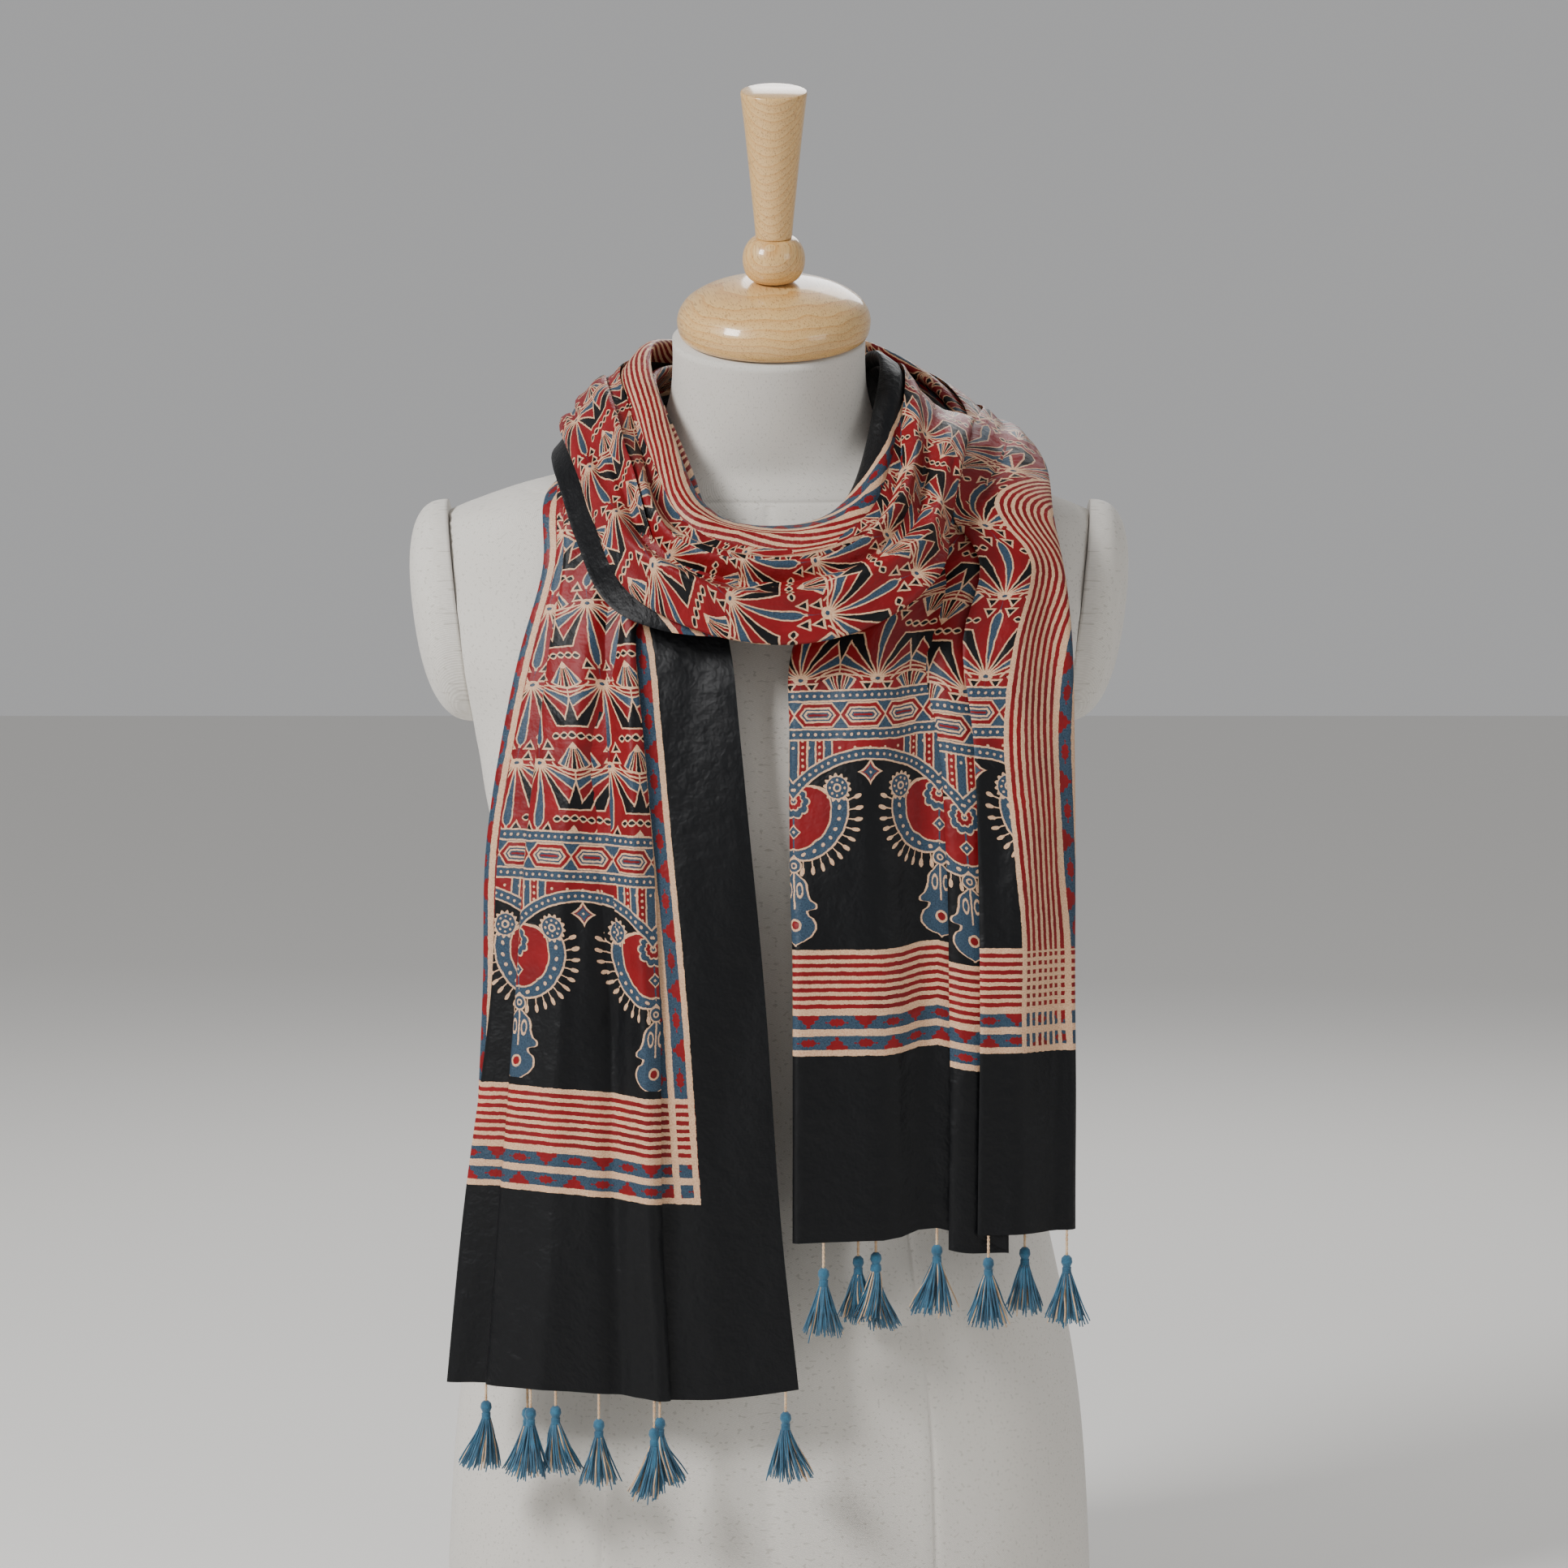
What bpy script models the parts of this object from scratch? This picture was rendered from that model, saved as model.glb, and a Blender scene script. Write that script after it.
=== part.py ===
"""A long printed stole draped twice round the neck of a tailor's dress form, with tassels on both hems.

Row frame: +Z up, the viewer looks along +Y and sees the front, +X is to the viewer's right. The origin is
the centre of the form's flat base. Every size below is in millimetres and becomes metres when a mesh is made.
"""

import math

import bmesh
import bpy
import numpy as np
from mathutils import Vector
from mathutils.bvhtree import BVHTree

MM = 0.001

# Cloth
CLOTH_WIDTH = 520.0
SHEET = 1.0
CLEAR = 2.6

# Dress form, one row per level: height, centre in y, half width, depth to the front and to the back, pitch in
# degrees by which the section leans forward, squareness of the section (2 is an ellipse)
FORM_COLUMNS = ("z", "y", "half_width", "front", "back", "pitch", "power")
FORM_ROWS = (
    (0, 8, 197, 112, 118, 0, 2.5),
    (60, 8, 195, 112, 118, 0, 2.5),
    (150, 6, 188, 108, 112, 0, 2.5),
    (245, 2, 170, 98, 98, 0, 2.4),
    (300, 0, 156, 92, 88, 0, 2.4),
    (360, -2, 149, 90, 82, 0, 2.4),
    (430, -4, 155, 96, 82, 0, 2.4),
    (507, -6, 170, 106, 86, 0, 2.4),
    (560, -4, 182, 102, 92, 0, 2.3),
    (590, -2, 200, 95, 92, 0, 2.3),
    (630, 1, 211, 82, 88, 0, 2.3),
    (660, 2, 210, 72, 80, 0, 2.3),
    (680, 2, 196, 63, 72, 0, 2.2),
    (690, 1, 172, 58, 66, 1, 2.1),
    (700, 0, 141, 55, 60, 3, 2.0),
    (708, -1, 108, 54, 56, 5, 2.0),
    (717, -3, 84, 55, 54, 7, 2.0),
    (730, -7, 68, 56, 54, 10, 2.0),
    (748, -14, 60, 56, 54, 14, 2.0),
    (768, -22, 57.5, 56, 55, 18, 2.0),
    (784, -29, 57.5, 56, 56, 19, 2.0),
)
# Heights at which the form's rings are built, and the heights between which the armholes cut it flat
FORM_RINGS = (
    0, 60, 140, 220, 290, 360, 430, 500, 550, 565, 585, 610,
    640, 664, 680, 690, 697, 703, 709, 717, 728, 744, 764, 784,
)
FORM_SIDES = 36
ARMHOLE_CUT = (520.0, 692.0)
ARMHOLE_X = 177.0
ARMHOLE_Z = 554.0
ARMHOLE_SLOPE = 0.119

# Arm caps: a dome on each armhole. Centre and half sizes of its rim in y and z, how far it stands out, and
# the squareness of its profile
ARM_CENTRE = (0.0, 621.0)
ARM_RIM = (46.0, 67.0)
ARM_BULGE = 29.0
ARM_GAP = 0.5
ARM_POWER = 2.6
ARM_SIDES = 28
ARM_STEPS = 6

# Wood turned on one axis, which leans forward from the middle of the neck's top face: radius, and height
# above that face
NECK_TOP = (3.0, -29.0, 784.0)
NECK_PITCH = 19.0
NECK_CAP = (
    (51.0, 0.4),
    (55.8, 3.0),
    (57.6, 9.0),
    (56.6, 16.0),
    (51.0, 23.0),
    (40.0, 29.0),
    (24.0, 33.0),
    (10.0, 34.6),
)
BALL = ((10.0, 35.0), (14.6, 37.0), (17.6, 42.0), (18.6, 48.0), (17.6, 54.0), (14.6, 59.0), (10.6, 61.6))
HANDLE = (
    (10.8, 62.0),
    (11.6, 70.0),
    (13.6, 92.0),
    (16.6, 122.0),
    (19.4, 145.0),
    (19.4, 148.6),
    (18.4, 149.6),
)
TURNED_SIDES = 24

# Tassels along each hem: distance of the first from the cloth's edge, and between them. A tassel is a
# thread, a bound head (radius and height from its knot) and a skirt of strands
TASSEL_EDGE = 8.0
TASSEL_STEP = 72.0
TASSEL_DROP = 0.9
THREAD_RADIUS = 0.7
HEAD = ((1.4, 1.5), (3.2, -2.0), (2.6, -5.5), (3.3, -11.0))
HEAD_SIDES = 6
STRANDS = 8
STRAND_SIDES = 3
STRAND_RADIUS = 0.8
STRAND_ROOT = -8.5
STRAND_LENGTH = 26.0
GOLDEN_TURN = 0.382
# One row per tassel from the cloth's first edge: thread length, how far the skirt opens, and its lean
TASSEL_COLUMNS = ("thread", "spread", "lean_x", "lean_y")
LEFT_TASSELS = (
    (13, 6.0, 3, 0),
    (11, 4.0, 6, 3),
    (17, 4.0, -5, -6),
    (12, 5.0, 0, -4),
    (10, 5.0, 4, 4),
    (16, 5.0, 0, 4),
    (11, 5.5, -4, 0),
    (15, 4.5, -3, 5),
)
RIGHT_TASSELS = (
    (12, 5.0, 0, 6),
    (16, 3.5, 6, 5),
    (10, 3.5, -6, -3),
    (16, 5.0, 0, 2),
    (11, 6.0, -3, -3),
    (14, 5.5, 0, -3),
    (16, 5.5, 0, -4),
    (11, 4.5, 0, 4),
)

# The cloth's cross-section is one zigzag through ten folds. Each layer between two folds has a level, counted
# outward from the form, so no two layers ever share a height
FOLDS = ("i0", "i1", "i2", "t", "f1", "f2", "f3", "f4", "f5", "f6")
LEVELS = (0.0, 1.0, 2.0, 6.0, 7.0, 8.0, 5.0, 4.0, 3.0)

# Stations along the cloth, from the left hem, over the left shoulder, behind the neck, across the chest,
# behind the neck again and down the right side. near is the edge by the neck, far the other edge; folds are
# distances from near; first three are the levels of the turned-in edge; then the layer pitch, how far the
# middle bows outward, how far the outer layers puff, and how many rows of mesh lead to the next station
STATIONS = (
    # near, far, the ten folds from i0 to f6, levels of the turned-in edge, pitch, bow, puff, rows
    ((19, -122, 177), (-190, -100, 171), (0, 8, 16, 24, 107, 74, 184, 91, 209, 150), (6, 6, 6), 3.0, 6, 0, 2),
    ((9, -122, 270), (-180, -100, 270), (0, 8, 16, 24, 100, 66, 166, 80, 190, 131), (6, 6, 6), 3.0, 7, 0, 2),
    ((0, -122, 400), (-170, -98, 400), (0, 8, 16, 24, 98, 62, 150, 60, 171, 112), (6, 6, 6), 3.0, 8, 0, 2),
    ((-8, -121, 490), (-165, -95, 490), (0, 8, 16, 24, 98, 60, 133, 50, 159, 100), (6, 6, 6), 3.0, 8, 0, 1),
    ((-14, -119, 553), (-156, -90, 553), (0, 7, 14, 21, 98, 56, 117, 34, 145, 87), (6, 6, 6), 2.8, 7, 0, 1),
    ((-20, -112, 603), (-146, -80, 600), (0, 6, 12, 18, 96, 48, 108, 24, 130, 70), (6, 6, 6), 2.6, 6, 0, 2),
    ((-28, -98, 648), (-134, -62, 645), (8, 5, 4, 0, 86, 36, 96, 24, 112, 52), (3, 4, 5), 2.4, 4, 0, 2),
    ((-40, -70, 694), (-118, -34, 688), (30, 12, 28, 0, 74, 24, 82, 18, 90, 36), (0, 1, 2), 2.2, 3, 0, 3),
    ((-59, -14, 750), (-106, -2, 713), (56, 14, 40, 0, 56, 13, 64, 12, 68, 22), (0, 1, 2), 2.1, 2, 0, 3),
    ((-43, 24, 764), (-84, 52, 704), (60, 16, 42, 0, 68, 16, 76, 12, 82, 22), (0, 1, 2), 2.1, 2, 0, 2),
    ((0, 42, 764), (0, 74, 692), (60, 16, 42, 0, 70, 16, 78, 12, 84, 22), (0, 1, 2), 2.1, 2, 0, 2),
    ((43, 26, 768), (80, 52, 708), (60, 16, 42, 0, 64, 16, 72, 12, 78, 22), (0, 1, 2), 2.1, 2, 0, 3),
    ((60, -10, 772), (94, -8, 720), (56, 13, 44, 0, 54, 14, 62, 12, 68, 22), (0, 1, 2), 2.1, 2, 0, 3),
    ((57, -50, 724), (104, -78, 670), (58, 16, 42, 0, 64, 24, 74, 12, 80, 22), (0, 1, 2), 2.2, 4, 3, 3),
    ((44, -86, 682), (94, -124, 634), (56, 18, 42, 0, 70, 40, 80, 12, 84, 22), (0, 1, 2), 2.3, 6, 5, 3),
    ((6, -96, 668), (2, -138, 606), (54, 18, 42, 0, 70, 44, 80, 12, 84, 22), (0, 1, 2), 2.3, 6, 6, 3),
    ((-38, -86, 678), (-78, -126, 628), (56, 18, 42, 0, 68, 38, 78, 12, 88, 40), (0, 1, 2), 2.3, 6, 5, 3),
    ((-56, -52, 722), (-102, -84, 674), (58, 16, 42, 0, 64, 24, 74, 12, 90, 58), (0, 1, 2), 2.2, 4, 3, 3),
    ((-66, -4, 774), (-106, -12, 722), (58, 16, 42, 0, 62, 17, 72, 12, 86, 58), (0, 1, 2), 2.1, 2, 0, 3),
    ((-50, 40, 780), (-94, 66, 718), (62, 14, 46, 0, 68, 18, 78, 13, 88, 54), (0, 1, 2), 2.1, 2, 0, 3),
    ((0, 60, 776), (0, 92, 698), (64, 14, 58, 0, 74, 24, 82, 22, 86, 44), (0, 1, 2), 2.1, 2, 0, 3),
    ((56, 50, 782), (98, 70, 716), (66, 12, 66, 0, 68, 20, 78, 24, 74, 34), (0, 1, 2), 2.1, 2, 0, 3),
    ((96, 30, 752), (148, 34, 708), (58, 10, 58, 0, 52, 10, 62, 13, 58, 22), (0, 1, 2), 2.1, 2, 0, 2),
    ((112, -4, 724), (161, -6, 700), (50, 10, 50, 0, 44, 9, 54, 13, 50, 22), (0, 1, 2), 2.1, 2, 0, 2),
    ((84, -58, 688), (168, -48, 668), (60, 10, 70, 0, 64, 30, 82, 36, 66, 40), (0, 1, 2), 2.2, 3, 0, 2),
    ((38, -92, 644), (172, -70, 636), (62, 16, 92, 0, 108, 80, 136, 102, 124, 94), (0, 1, 2), 2.4, 6, 0, 1),
    ((13, -111, 600), (174, -82, 600), (46, 14, 94, 0, 134, 107, 162, 130, 152, 122), (0, 1, 2), 2.7, 8, 0, 1),
    ((11, -119, 553), (176, -86, 553), (46, 14, 94, 0, 136, 109, 166, 134, 156, 126), (0, 1, 2), 2.9, 8, 0, 1),
    ((11, -122, 490), (178, -88, 490), (46, 14, 94, 0, 137, 110, 168, 136, 158, 128), (0, 1, 2), 3.0, 8, 0, 2),
    ((11, -122, 390), (180, -90, 390), (46, 14, 94, 0, 137, 110, 169, 137, 159, 129), (0, 1, 2), 3.0, 8, 0, 2),
    ((11, -120, 258), (177, -92, 262), (46, 14, 94, 0, 136, 109, 166, 134, 156, 126), (0, 1, 2), 3.0, 7, 0, 0),
)
# Stations where the cloth lies on the left shoulder, where it starts across the chest, where it leaves the
# chest, and where it lies on the right shoulder
SHOULDER_A = 8
CHEST_ON = 12
CHEST_OFF = 17
SHOULDER_B = 22
# Between two folds the sheet has this many rows of quads, and turns over within this distance of each fold
COLUMNS = 4
FOLD_REACH = 7.0
FOLD_SHARE = 0.36
# The fold that takes up what is left of the cloth's width, and how close it may come to its neighbours
SLACK_FOLD = FOLDS.index("f4")
SLACK_LEAST = 11.0
SLACK_ROOM = 20.0
# Where across the width the clearance is measured, and from how far outside
CLEAR_SAMPLES = np.linspace(-0.1, 1.2, 16)
CLEAR_REACH = 70.0


def spline(knots, values, where):
    """Smooth curve through values at knots (Catmull-Rom, one-sided at the ends), evaluated at where."""
    knots = np.asarray(knots, float)
    values = np.asarray(values, float)
    where = np.asarray(where, float)
    slope = np.gradient(values, knots, axis=0)
    k = np.clip(np.searchsorted(knots, where, side="right") - 1, 0, len(knots) - 2)
    span = knots[k + 1] - knots[k]
    u = (where - knots[k]) / span
    shape = (-1,) + (1,) * (values.ndim - 1)
    u = u.reshape(shape)
    span = span.reshape(shape)
    one = (1 + 2 * u) * (1 - u) ** 2
    two = u * (1 - u) ** 2 * span
    three = u * u * (3 - 2 * u)
    four = u * u * (u - 1) * span
    return one * values[k] + two * slope[k] + three * values[k + 1] + four * slope[k + 1]


def make_mesh(name, verts, faces):
    """Closed mesh from points in millimetres, triangulated, facing outward."""
    mesh = bpy.data.meshes.new(name)
    mesh.from_pydata([tuple(p) for p in np.asarray(verts, float) * MM], [], [tuple(f) for f in faces])
    bm = bmesh.new()
    bm.from_mesh(mesh)
    bmesh.ops.triangulate(bm, faces=[f for f in bm.faces if len(f.verts) > 3])
    bmesh.ops.recalc_face_normals(bm, faces=bm.faces)
    bm.to_mesh(mesh)
    bm.free()
    return mesh


def add_object(name, mesh, material, smooth=True):
    ob = bpy.data.objects.new(name, mesh)
    bpy.context.scene.collection.objects.link(ob)
    ob.data.materials.clear()
    ob.data.materials.append(material)
    for polygon in ob.data.polygons:
        polygon.use_smooth = smooth
    return ob


def plain_material(name, colour, roughness):
    material = bpy.data.materials.new(name)
    material.use_nodes = True
    shader = material.node_tree.nodes["Principled BSDF"]
    shader.inputs["Base Color"].default_value = (*colour, 1.0)
    shader.inputs["Roughness"].default_value = roughness
    material.diffuse_color = (*colour, 1.0)
    return material


def ring_faces(rows, sides, closed_ends=True):
    """Quads between stacked rings of the same number of points, and a fan at each end."""
    faces = []
    for r in range(rows - 1):
        for k in range(sides):
            j = (k + 1) % sides
            faces.append((r * sides + k, r * sides + j, (r + 1) * sides + j, (r + 1) * sides + k))
    if closed_ends:
        low = rows * sides
        for k in range(sides):
            j = (k + 1) % sides
            faces.append((low, j, k))
            faces.append((low + 1, (rows - 1) * sides + k, (rows - 1) * sides + j))
    return faces


def form_mesh():
    """The dress form's body: rings from the table, flattened where the armholes are cut."""
    table = np.array(FORM_ROWS, float)
    rows = spline(table[:, 0], table, FORM_RINGS)
    angle = np.arange(FORM_SIDES) * 2 * math.pi / FORM_SIDES
    verts = []
    for z, y, half, front, back, pitch, power in rows:
        c = np.cos(angle)
        s = np.sin(angle)
        x = half * np.sign(c) * np.abs(c) ** (2 / power)
        d = np.sign(s) * np.abs(s) ** (2 / power) * np.where(s < 0, front, back)
        lean = math.radians(pitch)
        ring = np.stack([x, y + d * math.cos(lean), z + d * math.sin(lean)], axis=1)
        limit = ARMHOLE_X + ARMHOLE_SLOPE * (ring[:, 2] - ARMHOLE_Z)
        level = (ring[:, 2] > ARMHOLE_CUT[0]) & (ring[:, 2] < ARMHOLE_CUT[1])
        cut = level & (np.abs(ring[:, 0]) > limit)
        ring[cut, 0] = np.sign(ring[cut, 0]) * limit[cut]
        verts.append(ring)
    top = rows[-1]
    ends = np.array([[0, table[0, 1], 0], [0, top[1], top[0]]])
    return make_mesh("torso", np.concatenate(verts + [ends]), ring_faces(len(rows), FORM_SIDES))


def arm_mesh(side):
    """One arm cap: a flattened dome whose flat rim stands just clear of the armhole."""
    angle = np.arange(ARM_SIDES) * 2 * math.pi / ARM_SIDES
    verts = []
    for k in range(ARM_STEPS):
        u = k / ARM_STEPS
        shrink = (1 - u ** ARM_POWER) ** (1 / ARM_POWER)
        y = ARM_CENTRE[0] + ARM_RIM[0] * shrink * np.cos(angle)
        z = ARM_CENTRE[1] + ARM_RIM[1] * shrink * np.sin(angle)
        base = ARMHOLE_X + ARMHOLE_SLOPE * (z - ARMHOLE_Z) + ARM_GAP
        verts.append(np.stack([side * (base + ARM_BULGE * u), y, z], axis=1))
    mid = ARMHOLE_X + ARMHOLE_SLOPE * (ARM_CENTRE[1] - ARMHOLE_Z) + ARM_GAP
    ends = np.array([[side * mid, *ARM_CENTRE], [side * (mid + ARM_BULGE), *ARM_CENTRE]])
    return make_mesh("arm", np.concatenate(verts + [ends]), ring_faces(ARM_STEPS, ARM_SIDES))


def turned_mesh(profile):
    """A solid of revolution about the neck's leaning axis."""
    lean = math.radians(NECK_PITCH)
    axis = np.array([0, -math.sin(lean), math.cos(lean)])
    across = np.array([0, math.cos(lean), math.sin(lean)])
    base = np.array(NECK_TOP)
    angle = np.arange(TURNED_SIDES) * 2 * math.pi / TURNED_SIDES
    verts = []
    for radius, height in profile:
        round_it = np.outer(np.cos(angle), [1, 0, 0]) + np.outer(np.sin(angle), across)
        ring = base + axis * height + radius * round_it
        verts.append(ring)
    ends = np.array([base + axis * profile[0][1], base + axis * profile[-1][1]])
    return make_mesh("turned", np.concatenate(verts + [ends]), ring_faces(len(profile), TURNED_SIDES))


def fold_shape(inside, reach):
    """How far a layer has opened from the fold's middle height, 0 at the fold and 1 past its reach."""
    u = np.clip(inside / reach, 0, 1)
    return np.sqrt(np.clip(1 - (1 - u) ** 2, 0, 1))


def section(folds, levels, columns):
    """Distances and levels of the columns of one cross-section, walking the zigzag from i0 to f6."""
    a = []
    h = []
    for k in range(len(folds) - 1):
        length = abs(folds[k + 1] - folds[k])
        before = levels[k] if k == 0 else (levels[k - 1] + levels[k]) / 2
        after = levels[k] if k == len(folds) - 2 else (levels[k] + levels[k + 1]) / 2
        inner = min(FOLD_REACH / max(length, 0.1), FOLD_SHARE)
        for f in [0.0, *np.linspace(inner, 1 - inner, columns - 1)]:
            a.append(folds[k] + (folds[k + 1] - folds[k]) * f)
            near = before + (levels[k] - before) * fold_shape(f * length, FOLD_REACH)
            far = after + (levels[k] - after) * fold_shape((1 - f) * length, FOLD_REACH)
            h.append(near if f <= 0.5 else far)
    a.append(folds[-1])
    h.append(levels[-1])
    return np.array(a), np.array(h)


def tree_of(points):
    """Search tree of a grid of points, as quads."""
    rows, columns = points.shape[:2]
    faces = []
    for r in range(rows - 1):
        for c in range(columns - 1):
            k = r * columns + c
            faces.append((k, k + 1, k + columns + 1, k + columns))
    return BVHTree.FromPolygons([Vector(p * MM) for p in points.reshape(-1, 3)], faces)


def cloth_grid(body, columns, density):
    """Middle surface of the draped cloth: points in mm, and their places across and along the flat cloth.

    The rows are laid in the order a wearer would: every row clears the form, then the second turn clears the
    first behind the neck, and last the turn across the chest clears both hanging ends.
    """
    near = np.array([s[0] for s in STATIONS], float)
    far = np.array([s[1] for s in STATIONS], float)
    folds = np.array([s[2] for s in STATIONS], float)
    edge = np.array([s[3] for s in STATIONS], float)
    rest = np.array([(s[4], s[5], s[6]) for s in STATIONS], float)
    middle = (near + far) / 2
    knots = np.concatenate([[0], np.cumsum(np.linalg.norm(np.diff(middle, axis=0), axis=1))])
    where = [knots[0]]
    for k, s in enumerate(STATIONS[:-1]):
        steps = max(1, round(s[7] * density))
        where.extend(knots[k] + (knots[k + 1] - knots[k]) * (np.arange(steps) + 1) / steps)
    where = np.array(where)
    near = spline(knots, near, where)
    far = spline(knots, far, where)
    folds = spline(knots, folds, where)
    edge = spline(knots, edge, where)
    rest = spline(knots, rest, where)
    across = far - near
    width = np.linalg.norm(across, axis=1, keepdims=True)
    across = across / width
    run = np.gradient((near + far) / 2, where, axis=0)
    out = np.cross(run, across)
    out = out / np.linalg.norm(out, axis=1, keepdims=True)
    rows = len(where)
    lift = np.zeros((rows, len(CLEAR_SAMPLES)))

    def raise_over(trees, first, last, gap):
        """Raises the rows from first to last until every sample clears the trees by gap."""
        for r in range(rows):
            if not knots[first] <= where[r] <= knots[last]:
                continue
            bow = rest[r, 1] * np.clip(1 - (2 * CLEAR_SAMPLES - 1) ** 2, 0, None)
            for c, u in enumerate(CLEAR_SAMPLES):
                start = near[r] + across[r] * (u * width[r, 0]) + out[r] * (bow[c] + CLEAR_REACH)
                for tree in trees:
                    hit = tree.ray_cast(Vector(start * MM), Vector(-out[r]), 1.4 * CLEAR_REACH * MM)
                    if hit[0] is not None:
                        lift[r, c] = max(lift[r, c], CLEAR_REACH - hit[3] / MM + gap)
        for _ in range(3):
            wide = np.pad(lift, 1, mode="edge")
            blurred = (wide[:-2, 1:-1] + wide[2:, 1:-1] + wide[1:-1, :-2] + wide[1:-1, 2:] + 4 * lift) / 8
            lift[:] = np.maximum(lift, blurred)

    def lay():
        """Points of every row at the present lift, and their places across the flat cloth."""
        points = []
        places = []
        for r in range(rows):
            levels = np.concatenate([edge[r], LEVELS[3:]])
            pitch, bow, puff = rest[r]
            fold = folds[r].copy()
            for _ in range(4):
                a, h = section(fold, levels, columns)
                u = a / width[r, 0]
                arch = np.clip(1 - (2 * u - 1) ** 2, -0.5, None)
                b = bow * arch + h * pitch + puff * np.clip(h - 5, 0, None) / 3 * np.clip(arch, 0, None)
                b = b + np.interp(u, CLEAR_SAMPLES, lift[r])
                length = np.concatenate([[0], np.cumsum(np.hypot(np.diff(a), np.diff(b)))])
                slack = (CLOTH_WIDTH - length[-1]) / 2
                most = min(fold[SLACK_FOLD - 1], fold[SLACK_FOLD + 1]) - SLACK_ROOM
                fold[SLACK_FOLD] = np.clip(fold[SLACK_FOLD] - slack * 0.8, SLACK_LEAST, most)
            points.append(near[r] + np.outer(a, across[r]) + np.outer(b, out[r]))
            places.append(length / length[-1] * CLOTH_WIDTH)
        return np.array(points), np.array(places)

    def part(points, first, last):
        """Search tree of the cloth between two stations."""
        chosen = (where >= knots[first]) & (where <= knots[last])
        return tree_of(points[chosen])

    end = len(STATIONS) - 1
    raise_over([body], 0, end, CLEAR)
    points, places = lay()
    raise_over([part(points, 0, CHEST_ON - 1)], CHEST_OFF + 1, end, CLEAR)
    points, places = lay()
    hanging = [part(points, 0, SHOULDER_A), part(points, SHOULDER_B + 1, end)]
    raise_over(hanging, CHEST_ON, CHEST_OFF + 1, CLEAR)
    points, places = lay()
    step = np.linalg.norm(np.diff(points, axis=0), axis=2)
    along = np.concatenate([[0], np.cumsum(np.median(step, axis=1))])
    return points, places, along


def cloth_mesh(points):
    """The sheet as one closed solid: its middle surface moved half a thickness each way, with closed edges."""
    down = np.gradient(points, axis=0)
    side = np.gradient(points, axis=1)
    normal = np.cross(down, side)
    normal = normal / np.maximum(np.linalg.norm(normal, axis=2, keepdims=True), 1e-9)
    rows, columns = points.shape[:2]
    outer = points + normal * SHEET / 2
    inner = points - normal * SHEET / 2
    verts = np.concatenate([outer.reshape(-1, 3), inner.reshape(-1, 3)])
    half = rows * columns
    faces = []
    for r in range(rows - 1):
        for c in range(columns - 1):
            k = r * columns + c
            faces.append((k, k + 1, k + columns + 1, k + columns))
            faces.append((half + k, half + k + columns, half + k + columns + 1, half + k + 1))
    rim = list(range(columns))
    rim += [r * columns + columns - 1 for r in range(1, rows)]
    rim += [(rows - 1) * columns + c for c in range(columns - 2, -1, -1)]
    rim += [r * columns for r in range(rows - 2, 0, -1)]
    for k in range(len(rim)):
        a = rim[k]
        b = rim[(k + 1) % len(rim)]
        faces.append((a, half + a, half + b, b))
    return make_mesh("scarf", verts, faces)


def tube(path, radii, sides):
    """A closed prism along a path, in mm, with its own end faces."""
    verts = []
    faces = []
    for k, (p, r) in enumerate(zip(path, radii)):
        for j in range(sides):
            turn = 2 * math.pi * j / sides
            verts.append((p[0] + r * math.cos(turn), p[1] + r * math.sin(turn), p[2]))
    for k in range(len(path) - 1):
        for j in range(sides):
            n = (j + 1) % sides
            faces.append((k * sides + j, k * sides + n, (k + 1) * sides + n, (k + 1) * sides + j))
    faces.append(tuple(range(sides - 1, -1, -1)))
    faces.append(tuple((len(path) - 1) * sides + j for j in range(sides)))
    return verts, faces


def tassel_mesh(top, thread, spread, lean, seed):
    """One tassel hanging from top: thread, bound head and a skirt of strands, joined into one solid."""
    rng = np.random.default_rng(seed)
    x, y, z = top
    head = np.array([x, y, z - thread])
    pieces = [tube([(x, y, z), (x, y, z - thread - 3)], [THREAD_RADIUS] * 2, STRAND_SIDES)]
    pieces.append(tube([head + (0, 0, h) for _, h in HEAD], [r for r, _ in HEAD], HEAD_SIDES))
    for k in range(STRANDS):
        turn = 2 * math.pi * (k * GOLDEN_TURN + rng.uniform(-0.03, 0.03))
        ring = math.sqrt((k + 0.6) / STRANDS)
        side = np.array([math.cos(turn), math.sin(turn), 0])
        drop = STRAND_LENGTH + rng.uniform(-2.5, 2.5)
        start = head + side * 1.9 * ring + (0, 0, STRAND_ROOT)
        end = head + side * (2.2 + spread) * ring + np.array([lean[0], lean[1], STRAND_ROOT - drop])
        pieces.append(tube([start, end], [STRAND_RADIUS] * 2, STRAND_SIDES))
    joined = None
    for verts, faces in pieces:
        mesh = make_mesh("piece", verts, faces)
        ob = bpy.data.objects.new("piece", mesh)
        bpy.context.scene.collection.objects.link(ob)
        if joined is None:
            joined = ob
            continue
        join = joined.modifiers.new("join", "BOOLEAN")
        join.operation = "UNION"
        join.solver = "EXACT"
        join.object = ob
        graph = bpy.context.evaluated_depsgraph_get()
        merged = bpy.data.meshes.new_from_object(joined.evaluated_get(graph))
        joined.modifiers.clear()
        joined.data = merged
        bpy.data.objects.remove(ob)
    result = joined.data
    bpy.data.objects.remove(joined)
    return result


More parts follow.
